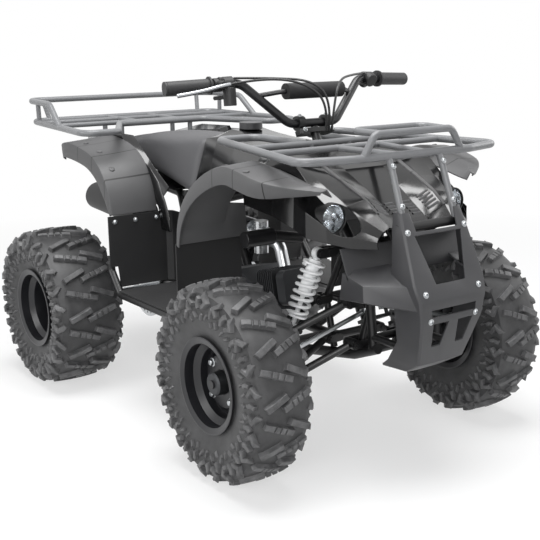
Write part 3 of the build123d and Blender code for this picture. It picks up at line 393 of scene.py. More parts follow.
# Dyed through, so the tail light is a deep red with a white glint on top
red_lens = clear_lens("red_polycarbonate_lens", "6E0F12", 0.12)
clear_shell = clear_cover("hard_coated_polycarbonate")
seat_cover = marine_vinyl()

# The finish of each material slot in the frame's record
finishes = {
    "frame_paint": frame_paint, "rack_paint": rack_paint, "bar_paint": bar_paint,
    "engine_casting": engine_casting, "zinc_casting": zinc_casting, "exhaust_black": exhaust_paint,
    "guard_plastic": guard_plastic, "cowl_plastic": cowl_plastic, "flare_plastic": flare_plastic,
    "mud_plastic": mud_plastic, "seat_vinyl": seat_cover, "lamp_glass": lamp_lens, "red_lens": red_lens,
    "spring_paint": spring_paint, "pad_foam": pad_foam, "grip_rubber": grip_rubber,
    "knuckle_iron": knuckle_iron, "zinc_rod": zinc_plate,
    "rim_paint": rim_paint, "tyre": tyre_rubber, "axle_steel": zinc_plate, "disc_steel": disc_steel,
}
slot_of = {piece["node"]: piece["material_slot"] for piece in frame["record"]["subparts"]}
for name, piece in nodes.items():
    piece.data.materials.clear()
    piece.data.materials.append(finishes[slot_of[name]])

# Faces that meet at more than this keep a sharp edge
crease = radians(38)


def put(mesh, name, body, material, smooth=True):
    """Object for a finished mesh, riding on its body."""
    piece = bpy.data.objects.new(name, mesh)
    bpy.context.scene.collection.objects.link(piece)
    mesh.materials.append(material)
    if smooth:
        mesh.shade_smooth()
        mesh.set_sharp_from_angle(angle=crease)
    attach(piece, body)
    return piece


def mesh_from(working, name):
    """Finished mesh from working geometry, with its faces as they are."""
    mesh = bpy.data.meshes.new(name)
    working.to_mesh(mesh)
    working.free()
    return mesh


def piece_from(working, name, body, material, smooth=True):
    """Turns working geometry into a named piece, with its faces turned outwards."""
    bmesh.ops.recalc_face_normals(working, faces=working.faces)
    return put(mesh_from(working, name), name, body, material, smooth)


def thicken(piece, wall, rounding, segments=1, angle=30):
    """Gives an open sheet its wall and breaks its edges; wall and rounding are in millimetres."""
    sheet = piece.modifiers.new("sheet", "SOLIDIFY")
    sheet.thickness = wall * MM
    edges = piece.modifiers.new("edges", "BEVEL")
    edges.width, edges.segments, edges.angle_limit = rounding * MM, segments, radians(angle)
    return sheet


# Tyres: casing with separate lugs, as high as the CAD tread crown


def arc_points(start, through, end, count):
    """Points on the circle through three points of a section, without the first one."""
    (ax, ay), (bx, by), (cx, cy) = start, through, end
    d = 2 * (ax * (by - cy) + bx * (cy - ay) + cx * (ay - by))
    ux = ((ax**2 + ay**2) * (by - cy) + (bx**2 + by**2) * (cy - ay) + (cx**2 + cy**2) * (ay - by)) / d
    uy = ((ax**2 + ay**2) * (cx - bx) + (bx**2 + by**2) * (ax - cx) + (cx**2 + cy**2) * (bx - ax)) / d
    radius = hypot(ax - ux, ay - uy)
    a, b, c = (atan2(y - uy, x - ux) for x, y in (start, through, end))
    turn = (c - a + pi) % (2 * pi) - pi
    if (b - a) * turn < 0:
        turn -= 2 * pi * (1 if turn > 0 else -1)
    return [(ux + radius * cos(a + turn * i / count), uy + radius * sin(a + turn * i / count))
            for i in range(1, count + 1)]


def half_section(radius, width, seat_half, tread):
    """Half of the casing's outer line, from the crown's middle down to the bead."""
    bead, lip = 103 * MM, 17 * MM
    side = width / 2 - 2 * MM
    crown = (radius - tread, 0)
    edge = (radius - 4 * MM - tread, side - 20 * MM)
    shoulder = (radius - 16 * MM - tread * 0.5, side - 5 * MM)
    points = [crown] + arc_points(crown, (radius - tread - 1.2 * MM, (side - 20 * MM) / 2), edge, 5)
    points += arc_points(edge, (radius - 10 * MM - tread * 0.85, side - 10 * MM), shoulder, 3)
    points += arc_points(shoulder, ((bead + radius) / 2 + 8 * MM, side), (bead + lip, seat_half), 9)
    return points + [(bead, seat_half)]


def along(points, distance):
    """Place and outward normal at a distance along the half section."""
    for (r0, y0), (r1, y1) in zip(points, points[1:]):
        run = hypot(r1 - r0, y1 - y0)
        if distance <= run or (r1, y1) == points[-1]:
            share = distance / run
            return (r0 + (r1 - r0) * share, y0 + (y1 - y0) * share), ((y1 - y0) / run, (r0 - r1) / run)
        distance -= run


def knobbly_tyre(node, body, pitches, tread, seat_half, spread):
    """Casing revolved from its section, with the bars, V lugs and knobs of a mud tread standing on it.

    Tread and the half width of the bead seat are in metres; spread widens the pattern for a wider tyre.
    """
    low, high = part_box(node)
    centre = (low + high) / 2
    radius = (high.z - low.z) / 2
    half = half_section(radius, high.y - low.y - 1.5 * tread, seat_half, tread)
    mesh = bmesh.new()
    laid = mesh.loops.layers.uv.new("casing")
    section = half + [(r, -y) for r, y in reversed(half[1:])]
    steps = 120
    rings = []
    for i in range(steps):
        angle = 2 * pi * i / steps
        rings.append([mesh.verts.new((r * cos(angle), y, r * sin(angle))) for r, y in section])
    for i in range(steps):
        here, there = rings[i], rings[(i + 1) % steps]
        for j in range(len(section)):
            face = mesh.faces.new((here[j - 1], here[j], there[j], there[j - 1]))
            for loop, turn in zip(face.loops, (i, i, i + 1, i + 1)):
                loop[laid].uv = (turn / steps, hypot(loop.vert.co.x, loop.vert.co.z))
    pitch = 2 * pi / pitches

    def stand(angle, across, lift):
        """Point above the casing; across runs from the crown's middle towards either side."""
        (r, y), (nr, ny) = along(half, abs(across))
        r, y = r + nr * lift, y + ny * lift
        return r * cos(angle), y if across >= 0 else -y, r * sin(angle)

    def lug(path, width, height, side, turn, draft=1.6 * MM):
        """Block along a path of (share of a pitch, millimetres across) with drafted sides and a crisp top."""
        line = []
        for (u0, t0), (u1, t1) in zip(path, path[1:]):
            pieces = max(1, round(hypot((u1 - u0) * pitch * radius, (t1 - t0) * MM) / (14 * MM)))
            line += [(u0 + (u1 - u0) * k / pieces, t0 + (t1 - t0) * k / pieces) for k in range(pieces)]
        line.append(path[-1])
        flat = [((u * pitch + turn) * radius, side * t * MM * spread) for u, t in line]
        levels = []
        for lift, inset in ((-2 * MM, -draft), (height - 1.2 * MM, 0.0), (height, 1.3 * MM)):
            left, right = [], []
            for k, (a, t) in enumerate(flat):
                a0, t0 = flat[max(k - 1, 0)]
                a1, t1 = flat[min(k + 1, len(flat) - 1)]
                run = hypot(a1 - a0, t1 - t0)
                dx, dt = (a1 - a0) / run, (t1 - t0) / run
                # at a bend the sides are mitred, up to a limit
                if 0 < k < len(flat) - 1:
                    b = hypot(a - a0, t - t0)
                    cross = ((a - a0) * dx + (t - t0) * dt) / b
                    reach = (width / 2 - inset) / max(cross, 0.6)
                else:
                    reach = width / 2 - inset
                shift = (inset if k == 0 else -inset if k == len(flat) - 1 else 0.0)
                a, t = a + dx * shift, t + dt * shift
                left.append(mesh.verts.new(stand((a - dt * reach) / radius, t + dx * reach, lift)))
                right.append(mesh.verts.new(stand((a + dt * reach) / radius, t - dx * reach, lift)))
            levels.append(left + right[::-1])
        for lower, upper in zip(levels, levels[1:]):
            for k in range(len(lower)):
                mesh.faces.new((lower[k - 1], lower[k], upper[k], upper[k - 1])).material_index = 1
        top = levels[-1]
        for k in range(len(flat) - 1):
            mesh.faces.new((top[k], top[k + 1], top[-2 - k], top[-1 - k])).material_index = 1

    for k in range(pitches):
        for side in both:
            turn = (k + (0 if side > 0 else 0.5)) * pitch
            # plain slanted bar, then the bar over the crown's middle with three slots cut in its top
            lug([(0.74, 5), (0.53, 60)], 15 * MM, tread, side, turn)
            start, end = Vector((0.0, -15)), Vector((0.24, 62))
            lug([tuple(start), tuple(end)], 15 * MM, tread * 0.62, side, turn)
            for first, last in ((0.0, 0.27), (0.32, 0.47), (0.52, 0.67), (0.72, 1.0)):
                block = [tuple(start.lerp(end, first)), tuple(start.lerp(end, last))]
                lug(block, 14.4 * MM, tread, side, turn)
            # V lugs, opening forwards and backwards in turn
            lug([(0.42, 74), (0.26, 90), (0.40, 106)], 10 * MM, tread * 0.92, side, turn)
            lug([(0.80, 72), (0.95, 88), (0.80, 104)], 10 * MM, tread * 0.92, side, turn)
            # knobs down the shoulder and the upper side wall
            lug([(0.02, 96), (0.06, 108), (0.03, 120)], 12 * MM, tread * 0.7, side, turn)
            lug([(0.58, 84), (0.62, 98), (0.58, 110)], 12 * MM, tread * 0.75, side, turn)
            lug([(0.22, 118), (0.34, 134)], 8 * MM, tread * 0.45, side, turn)
            lug([(0.86, 120), (0.76, 136)], 8 * MM, tread * 0.45, side, turn)
            lug([(0.50, 124), (0.56, 140)], 7 * MM, tread * 0.4, side, turn)
            lug([(0.08, 132), (0.02, 146)], 7 * MM, tread * 0.35, side, turn)
    bmesh.ops.recalc_face_normals(mesh, faces=mesh.faces)
    data = mesh_from(mesh, node + "_tread")
    data.transform(Matrix.Translation(centre))
    tyre = put(data, node + "_tread", body, tyre_rubber)
    data.materials.append(lug_rubber)
    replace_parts(tyre, node)


for _, word in sides:
    knobbly_tyre(f"front_tyre_{word}", f"front_wheel_{word}", 12, 12 * MM, 61.7 * MM, 0.92)
    knobbly_tyre(f"rear_tyre_{word}", "rear_wheels", 12, 13 * MM, 80.7 * MM, 1.12)


# Seat: moulded foam under one stretched cover, crowned across and dished along, tucked in at its lower edge


def spline_at(stations, x):
    """Values at x on a smooth curve through the stations (position first)."""
    k = max(0, min(len(stations) - 2, sum(1 for s in stations[1:-1] if s[0] <= x)))
    a, b = stations[k], stations[k + 1]
    before, after = stations[max(k - 1, 0)], stations[min(k + 2, len(stations) - 1)]
    f = (x - a[0]) / (b[0] - a[0])
    out = []
    for j in range(1, len(a)):
        m0 = (b[j] - before[j]) / (b[0] - before[0]) * (b[0] - a[0])
        m1 = (after[j] - a[j]) / (after[0] - a[0]) * (b[0] - a[0])
        out.append(a[j] * (2 * f**3 - 3 * f**2 + 1) + m0 * (f**3 - 2 * f**2 + f)
                   + b[j] * (3 * f**2 - 2 * f**3) + m1 * (f**3 - f**2))
    return out


def padded_seat():
    """Cover lofted along the seat; each section is a crown, a soft shoulder, a flank and a tucked hem."""
    # distance from the rear axle, height of the top, half width and height of the shoulder and of the flank
    stations = [(-165, 694, 62, 688, 88, 672), (-140, 703, 76, 695, 96, 666), (-60, 715, 92, 703, 108, 660),
                (20, 727, 102, 716, 120, 655), (100, 735, 108, 724, 130, 648), (180, 738, 108, 727, 131, 634),
                (240, 740, 104, 728, 130, 621), (310, 743, 94, 731, 127, 604),
                (363.5, 744, 84, 733, 122, 590)]
    tail, tip = stations[0][0], stations[-1][0]
    slices = 40
    mesh = bmesh.new()
    rows = []
    for i in range(slices + 1):
        x = tail + (tip - tail) * i / slices
        top, shoulder, shoulder_z, flank, flank_z = spline_at(stations, x)
        fall = top - shoulder_z
        low = flank_z - 12
        # the cover closes round its ends: over 26 mm at the tail and 10 mm at the tip
        end = min(1.0, (x - tail) / 26) ** 0.5
        nose = min(1.0, (tip - x) / 10) ** 0.5
        close = 0.9 + 0.1 * nose
        pull = (0.62 + 0.38 * end) * close
        profile = [(0, top), (shoulder * 0.35, top - fall * 0.10), (shoulder * 0.7, top - fall * 0.42),
                   (shoulder * 0.93, shoulder_z - 1), (shoulder + 6, shoulder_z - 13),
                   (shoulder + (flank - shoulder) * 0.55, shoulder_z + (flank_z - shoulder_z) * 0.42),
                   (flank - 1, flank_z + 18), (flank + 1, flank_z + 2), (flank - 2, flank_z - 9),
                   (flank - 10, low), (flank * 0.5, low)]
        drop = [(y * pull, low + (z - low) * (0.45 + 0.55 * end) * close) for y, z in profile]
        rows.append([mesh.verts.new((rear_x + x * MM, y * MM, z * MM))
                     for y, z in drop + [(0, low)] + [(-y, z) for y, z in reversed(drop[1:])]])
    for one, two in zip(rows, rows[1:]):
        for k in range(len(one)):
            mesh.faces.new((one[k - 1], one[k], two[k], two[k - 1]))
    mesh.faces.new(rows[0])
    mesh.faces.new(rows[-1][::-1])
    cushion = piece_from(mesh, "seat_cover", "chassis", seat_cover)
    smooth = cushion.modifiers.new("foam", "SUBSURF")
    smooth.levels = smooth.render_levels = 2
    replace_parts(cushion, "seat")


padded_seat()


# Small parts that stand on other surfaces: each is found by a line from outside

trees = {}
forwards, backwards, down = (1, 0, 0), (-1, 0, 0), (0, 0, -1)
overhead = 1.1


def hit(name, start, way):
    """Point and outward normal where a line meets a CAD node or a finished piece, or None."""
    if name not in trees:
        target = nodes.get(name) or bpy.data.objects[name]
        trees[name] = BVHTree.FromObject(target, bpy.context.evaluated_depsgraph_get())
    place, normal, _, _ = trees[name].ray_cast(Vector(start), Vector(way).normalized())
    if place is None:
        return None
    return place, (normal if normal.dot(Vector(way)) < 0 else -normal)


def spun(mesh, place, axis, profile, steps):
    """Adds a turned shape along an axis; profile is (radius, height) from its foot up."""
    turn = axis.to_track_quat("Z", "Y").to_matrix()
    rings = []
    for r, h in profile:
        # a point on the axis is one vertex, any other a ring
        angles = [2 * pi * k / steps for k in range(steps)] if r else [0]
        rings.append([mesh.verts.new(place + turn @ Vector((r * cos(a), r * sin(a), h))) for a in angles])
    for one, two in zip(rings, rings[1:]):
        if len(one) == len(two) == 1:
            continue
        for k in range(steps):
            if len(one) == 1:
                mesh.faces.new((one[0], two[k - 1], two[k]))
            elif len(two) == 1:
                mesh.faces.new((one[k - 1], one[k], two[0]))
            else:
                mesh.faces.new((one[k - 1], one[k], two[k], two[k - 1]))


def dome_bolt(mesh, place, axis, radius):
    """Button-head screw: washer, domed head and a hexagon socket."""
    washer = [(radius * 1.35, -0.5 * MM), (radius * 1.35, 0.8 * MM), (radius * 1.25, 1.1 * MM)]
    head = [(radius, 1.1 * MM), (radius, 1.8 * MM), (radius * 0.86, radius * 0.42 + 1.4 * MM),
            (radius * 0.6, radius * 0.6 + 1.4 * MM), (radius * 0.48, radius * 0.62 + 1.4 * MM)]
    spun(mesh, place, axis, washer + head, 18)
    socket = [(radius * 0.48, radius * 0.62 + 1.4 * MM), (radius * 0.42, 1.4 * MM), (0.0, 1.4 * MM)]
    spun(mesh, place, axis, socket, 6)


def hex_bolt(mesh, place, axis, radius):
    """Flange bolt: round flange and a chamfered hexagon."""
    flange = [(radius * 1.5, -0.5 * MM), (radius * 1.5, 1.2 * MM), (radius * 1.1, 2.0 * MM)]
    spun(mesh, place, axis, flange, 18)
    spun(mesh, place, axis, [(radius, 1.0 * MM), (radius, radius * 0.95), (radius * 0.86, radius * 1.1),
                             (radius * 0.5, radius * 1.12), (0.0, radius * 1.06)], 6)


def bolt_set(name, body, kind, radius, spots):
    """One piece with all the bolts of a kind; a spot is a name, a start and a direction to its surface."""
    mesh = bmesh.new()
    for node, start, way in spots:
        found = hit(node, start, way)
        if found:
            kind(mesh, found[0], found[1], radius)
    piece_from(mesh, name, body, zinc_plate)


# Fenders: one sheet each, a band over the wheel with a skirt along its outer edge


def curve_through(points, steps):
    """Smooth run of points through the given ones (a Catmull-Rom curve), any number of values each."""
    out = []
    for k in range(len(points) - 1):
        before, a, b = points[max(k - 1, 0)], points[k], points[k + 1]
        after = points[min(k + 2, len(points) - 1)]
        for j in range(steps + (k == len(points) - 2)):
            f = j / steps
            out.append([0.5 * (2 * q + (r - p) * f + (2 * p - 5 * q + 4 * r - s) * f**2
                               + (3 * q - p - 3 * r + s) * f**3) for p, q, r, s in zip(before, a, b, after)])
    return out


def fender(name, side, origin, crown, centre, reaches, lifts, plan, wall=()):
    """Sheet over a wheel with a skirt, in millimetres; x is counted forward from the axle, the origin.

    Crown is (x, z, skirt depth) along the outer edge, and the skirt hangs towards the centre (x, z).
    Reaches are the distances of the outer, middle and inner line from the quad's middle. Lifts are what
    the middle and the inner line rise above the crown where it is highest. Plan is (x, y) of the outer
    edge from above, and wall the corners of the flat mud wall behind the wheel.
    """
    outer_reach, middle_reach, inner_reach = reaches
    middle_lift, inner_lift = lifts
    # the middle's lift is reached this far inside the edge
    shoulder = 90
    low, top = min(z for x, z, drop in crown), max(z for x, z, drop in crown)
    mesh = bmesh.new()

    def point(x, y, z):
        """Vertex of the sheet on this side."""
        return mesh.verts.new((origin + x * MM, side * y * MM, z * MM))

    rows = []
    for x, z, drop in curve_through(crown, 5):
        share = (z - low) / (top - low)
        edge = min(outer_reach, spline_at(plan, max(plan[0][0], min(x, plan[-1][0])))[0])
        middle = min(middle_reach, (inner_reach + edge) / 2)
        away = hypot(centre[0] - x, centre[1] - z)
        inward = ((centre[0] - x) / away, (centre[1] - z) / away)
        row = [point(x, inner_reach, z + inner_lift * share), point(x, middle, z + middle_lift * share)]
        for inset, depth in ((5, 0), (1.5, 1.0), (0, 4), (-0.8, drop * 0.6), (-0.4, drop)):
            rise = middle_lift * share * inset / shoulder
            row.append(point(x + inward[0] * depth, edge - inset, z + inward[1] * depth + rise))
        rows.append(row)
    for one, two in zip(rows, rows[1:]):
        for k in range(len(one) - 1):
            corners = (one[k], two[k], two[k + 1], one[k + 1])
            mesh.faces.new(corners if side > 0 else corners[::-1])
    if wall:
        mesh.faces.new([point(*p) for p in (wall if side < 0 else wall[::-1])])
    piece = put(mesh_from(mesh, name), name, "chassis", flare_plastic)
    thicken(piece, 3.6, 1.2, 2, 50)
    return piece


front_crown = ((-284, 513, 16), (-276, 566, 22), (-250, 622, 30), (-200, 672, 36), (-132, 712, 40),
               (-60, 734, 42), (0, 730, 44), (86, 712, 40), (136, 700, 24), (172, 692, 10))
rear_crown = ((-85, 690, 40), (-45, 706, 42), (10, 711, 46), (80, 704, 46), (150, 688, 46), (205, 656, 44),
              (240, 612, 38), (258, 570, 26), (266, 531, 12))
front_plan = ((-300, 350), (20, 350), (84, 338), (128, 302), (156, 262), (176, 232))
rear_plan = ((-100, 300), (-60, 328), (-20, 335), (280, 336))
knee_wall = ((-282, 139, 513), (-282, 345, 513), (-282, 345, 560), (-274, 240, 612), (-274, 150, 600))
for side, word in sides:
    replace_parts(fender(f"front_fender_skin_{word}", side, front_x, front_crown, (-20, 430), (352, 268, 210),
                       (6, -16), front_plan, knee_wall), f"front_fender_{word}")
    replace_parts(fender(f"rear_fender_skin_{word}", side, rear_x, rear_crown, (0, 440), (337, 280, 193),
                       (6, 14), rear_plan), f"rear_fender_{word}")

# Side panels below the seat, from the rear fender down to the tub
cheek_y = 194 * MM
cheek_line = ((100, 700), (233, 651), (277, 618), (313, 565), (338, 517), (341, 478), (290, 478), (276, 540),
              (236, 590), (110, 620))
cheeks = bmesh.new()
for side in both:
    cheeks.faces.new([cheeks.verts.new((rear_x + x * MM, side * cheek_y, z * MM)) for x, z in cheek_line])
thicken(piece_from(cheeks, "seat_side_panels", "chassis", cowl_plastic), 4, 1)

# Hand controls on the bar: brake perch, lever and throttle pod on the right, switch housing on the left
high_bend = Vector((front_x - 222 * MM, 188 * MM, 909 * MM))
bar_end = Vector((front_x - 254 * MM, 376 * MM, 901 * MM))
grip_way = (bar_end - high_bend).normalized()


def on_bar(along_bar, side, forward=0, rise=0):
    """Point beside the straight of the bar, in millimetres from its upper bend."""
    spot = high_bend + grip_way * along_bar * MM
    return Vector((spot.x + forward * MM, side * spot.y, spot.z + rise * MM))


def capped_rod(mesh, start, end, radius, edge=1.5):
    """Round body between two points with chamfered ends; radius in millimetres."""
    length = (end - start).length / MM
    profile = [(0, 0), (radius - edge, 0), (radius, edge),
               (radius, length - edge), (radius - edge, length), (0, length)]
    spun(mesh, start, (end - start).normalized(), [(r * MM, h * MM) for r, h in profile], 24)


def rods(name, body, material, runs):
    """Piece of several round bodies; a run is start, end and radius."""
    mesh = bmesh.new()
    for start, end, radius in runs:
        capped_rod(mesh, start, end, radius)
    return piece_from(mesh, name, body, material)


rods("right_controls", "steering", control_plastic,
     [(on_bar(51, -1), on_bar(72, -1), 17), (on_bar(62, -1, 8, 2), on_bar(62, -1, 34, 2), 10),
      (on_bar(21, -1), on_bar(47, -1), 19), (on_bar(33, -1, 6, -8), on_bar(33, -1, 10, -52), 16),
      (on_bar(33, -1, 4, -30), on_bar(56, -1, -26, -34), 5),
      (on_bar(36, -1, 0, 8), on_bar(62, -1, 8, 12), 8)])
rods("switch_housing", "steering", control_plastic,
     [(on_bar(20, 1), on_bar(56, 1), 18.5), (on_bar(38, 1, -6, -4), on_bar(38, 1, -20, -10), 17),
      (on_bar(38, 1, 6, 2), on_bar(38, 1, 22, -6), 18)])

# Air filter canister beside the engine, and the duct that runs in from it
filter_x, filter_z = front_x - 190 * MM, 522 * MM
rods("air_filter", "chassis", filter_paint,
     [(Vector((filter_x, -208 * MM, filter_z)), Vector((filter_x, -120 * MM, filter_z)), 21),
      (Vector((filter_x, -122 * MM, filter_z)), Vector((filter_x, -30 * MM, 505 * MM)), 15)])


def bent_rod(name, run, radius, material, roundness, smoothness):
    """Round rod on a smooth line that is drawn towards the points of its run; radius in millimetres."""
    line = bpy.data.curves.new(name, "CURVE")
    line.dimensions, line.use_fill_caps = "3D", True
    line.bevel_depth, line.bevel_resolution = radius * MM, roundness
    spline = line.splines.new("NURBS")
    spline.points.add(len(run) - 1)
    for spot, place in zip(spline.points, run):
        spot.co = (*place, 1)
    spline.order_u, spline.use_endpoint_u, spline.resolution_u = 3, True, smoothness
    piece = bpy.data.objects.new(name, line)
    bpy.context.scene.collection.objects.link(piece)
    line.materials.append(material)
    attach(piece, "steering")
    return piece


perch = on_bar(46, -1, 32, 2)
bent_rod("brake_lever", [perch, on_bar(76, -1, 42, 0), on_bar(124, -1, 40, -10), on_bar(182, -1, 34, -16)],
         5, lever_chrome, 6, 12)

# Cables: over the bar's bends and down the front of the column
for word, start, over, across, long in (
        ("brake", perch, [(-175, -150, 923), (-128, -62, 912)], -9, 0.33),
        ("throttle", on_bar(20, -1, 5, 14), [(-185, -130, 922), (-120, -36, 916)], 0, 0.34),
        ("choke", on_bar(19, 1, 8, 15), [(-185, 135, 922), (-122, 45, 915)], 9, 0.325)):
    run = [start] + [Vector((front_x + x * MM, y * MM, z * MM))
                     for x, y, z in over + [(-96, across, 862), (-108, across, 790)]]
    cable = bent_rod(f"{word}_cable", run, 3, cable_sheath, 5, 16)

# Brush guard: a tall shield with two horns, three rows of openings, a skid below and a faceted wing each side
guard_x = front_x + 354 * MM
# Lines across the shield, in millimetres: height, place of the face ahead of the nose, half widths of the
# middle rib, of the openings and of the whole face, and place of the back edge
shield = [(642, -81, 20, 70, 94, -106), (600, -63, 20, 64, 99, -106), (592, -59, 20, 72, 100, -104),
          (520, -28, 16, 54, 107, -96), (486, -14, 14, 46, 110, -95), (452, 0, 14, 60, 105, -94),
          (431, -1, 14, 70, 101, -94), (413, -2, 14, 69, 98, -95), (398, -3, 14, 62, 96, -96),
          (338, -22, 24, 50, 82, -103), (292, -38, 24, 48, 72, -140), (280, -58, 22, 44, 66, -152),
          (262, -90, 20, 40, 60, -176), (256, -176, 18, 38, 56, -180)]
# Faces left open below a line, counted from the middle
opened = {0: (0, 1), 2: (0, 1), 3: (0, 1), 6: (0, 1), 8: (1,)}
# Wings: (x, z) of the four corners, at the shield and at the outer end
wing_root, root_y = [(-120, 522), (-30, 482), (-10, 430), (-120, 416)], 94
wing_tip, tip_y = [(-176, 503), (-103, 486), (-101, 448), (-186, 439)], 186
guard = bmesh.new()


def guard_point(side, x, y, z):
    """Vertex of the guard, in millimetres from its nose."""
    return guard.verts.new((guard_x + x * MM, side * y * MM, z * MM))


def guard_face(side, *corners):
    """Face that looks outwards on either side."""
    guard.faces.new(corners if side > 0 else corners[::-1])


for side in both:
    rows = [[guard_point(side, x, 0, z), guard_point(side, x, rib, z), guard_point(side, x - 1, gap, z),
             guard_point(side, x - 3, wide - 4, z), guard_point(side, x - 8, wide, z),
             guard_point(side, back, wide + 1, z)] for z, x, rib, gap, wide, back in shield]
    for k, (one, two) in enumerate(zip(rows, rows[1:])):
        for j in range(5):
            if j not in opened.get(k, ()):
                guard_face(side, one[j], two[j], two[j + 1], one[j + 1])
    root = [guard_point(side, x, root_y, z) for x, z in wing_root]
    tip = [guard_point(side, x, tip_y, z) for x, z in wing_tip]
    for k in range(3):
        guard_face(side, root[k], root[k + 1], tip[k + 1], tip[k])
    guard_face(side, *tip)
bmesh.ops.remove_doubles(guard, verts=guard.verts, dist=0.01 * MM)
brush_guard = put(mesh_from(guard, "brush_guard"), "brush_guard", "chassis", guard_plastic)
thicken(brush_guard, 4.5, 2.2, 2, 24).use_even_offset = True
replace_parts(brush_guard, "front_bumper")
tube_x, tube_half, tube_z = guard_x - 92 * MM, 98 * MM, 606 * MM
rods("guard_cross_tube", "chassis", frame_paint,
     [(Vector((tube_x, -tube_half, tube_z)), Vector((tube_x, tube_half, tube_z)), 11)])

# Headlights: black housing, faceted bowl, bulb and clear domed cover, standing in the cowl's tunnels
lamp_x = front_x + 99 * MM
lamp_y = 188 * MM
lamp_z = 624 * MM


def turned(name, profile, steps, material):
    """Both lamps' copy of one turned piece; profile is (radius, distance forward) in millimetres."""
    mesh = bmesh.new()
    for side in both:
        spun(mesh, Vector((lamp_x, side * lamp_y, lamp_z)), Vector((1, 0, 0)),
             [(r * MM, h * MM) for r, h in profile], steps)
    return piece_from(mesh, name, "chassis", material)


housing = turned("lamp_housings", [(0, -59.7), (14, -59.7), (14, -46), (20, -45), (34.8, -8), (34.8, 53),
                                   (33.8, 54), (32.6, 53), (32.4, 44), (33.4, 40), (33.4, -6), (19, -42),
                                   (0, -43)], 48, control_plastic)
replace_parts(housing, "headlights")
bowl = bmesh.new()
facets, facet_depth = 14, 1.3
for side in both:
    rings = []
    for row, (r, h) in enumerate(((32.2, 42), (29, 30), (24.5, 19), (19, 10.5), (13, 4.5), (7, 1.5))):
        ring = []
        for k in range(facets):
            angle = 2 * pi * (k + 0.5 * (row % 2)) / facets
            depth = h + (facet_depth if (row + k) % 2 else -facet_depth)
            ring.append(bowl.verts.new((lamp_x + depth * MM, side * lamp_y + r * MM * cos(angle),
                                        lamp_z + r * MM * sin(angle))))
        rings.append(ring)
    for one, two in zip(rings, rings[1:]):
        for k in range(facets):
            bowl.faces.new((one[k - 1], one[k], two[k]))
            bowl.faces.new((one[k - 1], two[k], two[k - 1]))
    bowl.faces.new(rings[-1])
piece_from(bowl, "lamp_bowls", "chassis", lamp_silver, smooth=False)
turned("lamp_bulbs", [(0, 1), (6, 1), (6, 8), (4.6, 10), (4.6, 22), (3, 25), (0, 26)],
       20, lamp_lens)
turned("lamp_lenses", [(32.2, 43), (32.2, 47), (29, 51.5), (20, 54.6), (9, 56), (0, 56.3), (0, 54.3),
                       (9, 54), (20, 52.6), (28, 49.4), (30.4, 46), (30.4, 43), (32.2, 43)],
       48, clear_shell)

# Raised ribs down the cowl, from the rack to the intake, and the blades of the louvres between them
ribs = bmesh.new()
rib_steps = 24


def on_cowl(x, y, lift):
    """Vertex on the cowl's top, in millimetres from the front axle's line; None beside the cowl."""
    found = hit("nose_cowl", (front_x + x * MM, y * MM, overhead), down)
    return ribs.verts.new(found[0] + Vector((0, 0, lift * MM))) if found else None


for side in both:
    rows = []
    for k in range(rib_steps + 1):
        f = k / rib_steps
        middle, half = 118 - 14 * f, 7.5 - 3.5 * f
        rows.append([on_cowl(-20 + 226 * f, side * (middle + across * half), lift)
                     for across, lift in ((-1, -1.0), (-0.7, 2.6), (0.7, 2.6), (1, -1.0))])
    for one, two in zip(rows, rows[1:]):
        if None in one or None in two:
            continue
        for k in range(3):
            ribs.faces.new((one[k], one[k + 1], two[k + 1], two[k]))
for side in both:
    for row in range(5):
        for far, near in ((96, 62), (40, 14)):
            blade = [on_cowl(150 + row * 10 + step, side * y, lift) for y in (far, near)
                     for step, lift in ((0, -0.5), (1.5, 2.4), (5, 2.4), (6.5, -0.5))]
            if None not in blade:
                for k in range(3):
                    ribs.faces.new((blade[k], blade[k + 1], blade[k + 5], blade[k + 4]))
piece_from(ribs, "cowl_ribs", "chassis", flare_plastic)

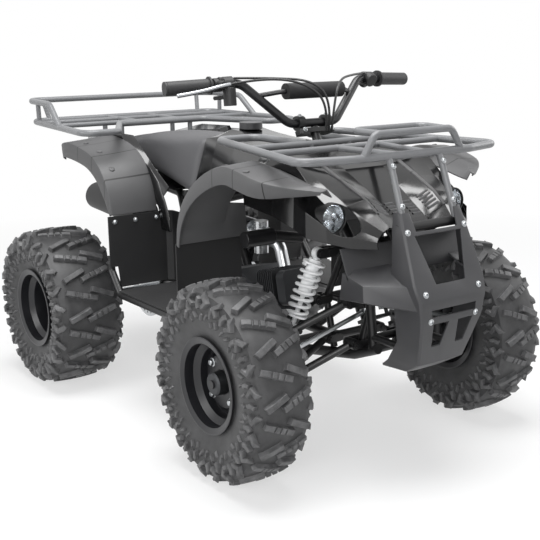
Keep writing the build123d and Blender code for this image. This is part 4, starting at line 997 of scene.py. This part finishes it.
# Plugs beside the joints of the flares
plugs = bmesh.new()
for side, word in sides:
    for node, x, y in ([(f"front_fender_skin_{word}", rear_x + a * MM, 333 * MM) for a in (857, 945, 1036)]
                       + [(f"rear_fender_skin_{word}", rear_x + a * MM, 300 * MM) for a in (50, 137, 210)]):
        found = hit(node, (x, side * y, overhead), down)
        if found:
            # tipped back a little from the sheet's own normal
            tipped = (found[1] + Vector((-0.16, 0, 0))).normalized()
            spun(plugs, found[0], tipped, [(8.6 * MM, -1.5 * MM), (8.6 * MM, 0.7 * MM), (7.6 * MM, 1.5 * MM),
                                           (4 * MM, 1.9 * MM), (0, 2 * MM)], 24)
piece_from(plugs, "flare_plugs", "chassis", flare_plastic)

# Bolts and screws
in_front = 1.5
well_x = rear_x + 450 * MM
bolt_set("guard_bolts", "chassis", dome_bolt, 5.6 * MM,
         [("brush_guard", (in_front, side * y * MM, z * MM), backwards) for side in both
          for y, z in ((88, 600), (83, 468), (70, 405))])
bolt_set("rack_leg_bolts", "chassis", dome_bolt, 5.2 * MM,
         [("front_rack", (in_front, side * y * MM, z * MM), backwards) for side in both
          for y, z in ((78, 742), (79.5, 655))])
bolt_set("tub_screws", "chassis", dome_bolt, 5.2 * MM,
         [(f"footwell_{word}", (well_x, side * y * MM, 512 * MM), backwards)
          for side, word in sides for y in (196, 262, 326)])
bolt_set("mud_panel_screws", "chassis", dome_bolt, 5.2 * MM,
         [(f"front_fender_skin_{word}", (well_x, side * y * MM, 530 * MM), forwards)
          for side, word in sides for y in (190, 290)])
bolt_set("clamp_bolts", "steering", hex_bolt, 4.2 * MM,
         [("steering_stem", (front_x + x * MM, side * 42 * MM, overhead), down) for side in both
          for x in (-174, -150)])

# Wheel nuts on the stud circle; the disc's face is found nearer the middle, clear of the stud holes
flat_radius, stud_radius = 43 * MM, 55 * MM
beyond_wheels = 600 * MM
for side, word in sides:
    for node, body, axle in ((f"front_rim_{word}", f"front_wheel_{word}", front_axle),
                             (f"rear_rim_{word}", "rear_wheels", rear_axle)):
        nuts = bmesh.new()
        for quarter in range(4):
            angle = pi / 4 + quarter * pi / 2
            way = Vector((cos(angle), 0, sin(angle)))
            start = Vector((axle.x, side * beyond_wheels, axle.z)) + way * flat_radius
            disc = hit(node, start, (0, -side, 0))
            hex_bolt(nuts, disc[0] + way * (stud_radius - flat_radius), Vector((0, side, 0)), 7.5 * MM)
        piece_from(nuts, f"{node}_nuts", body, zinc_plate)
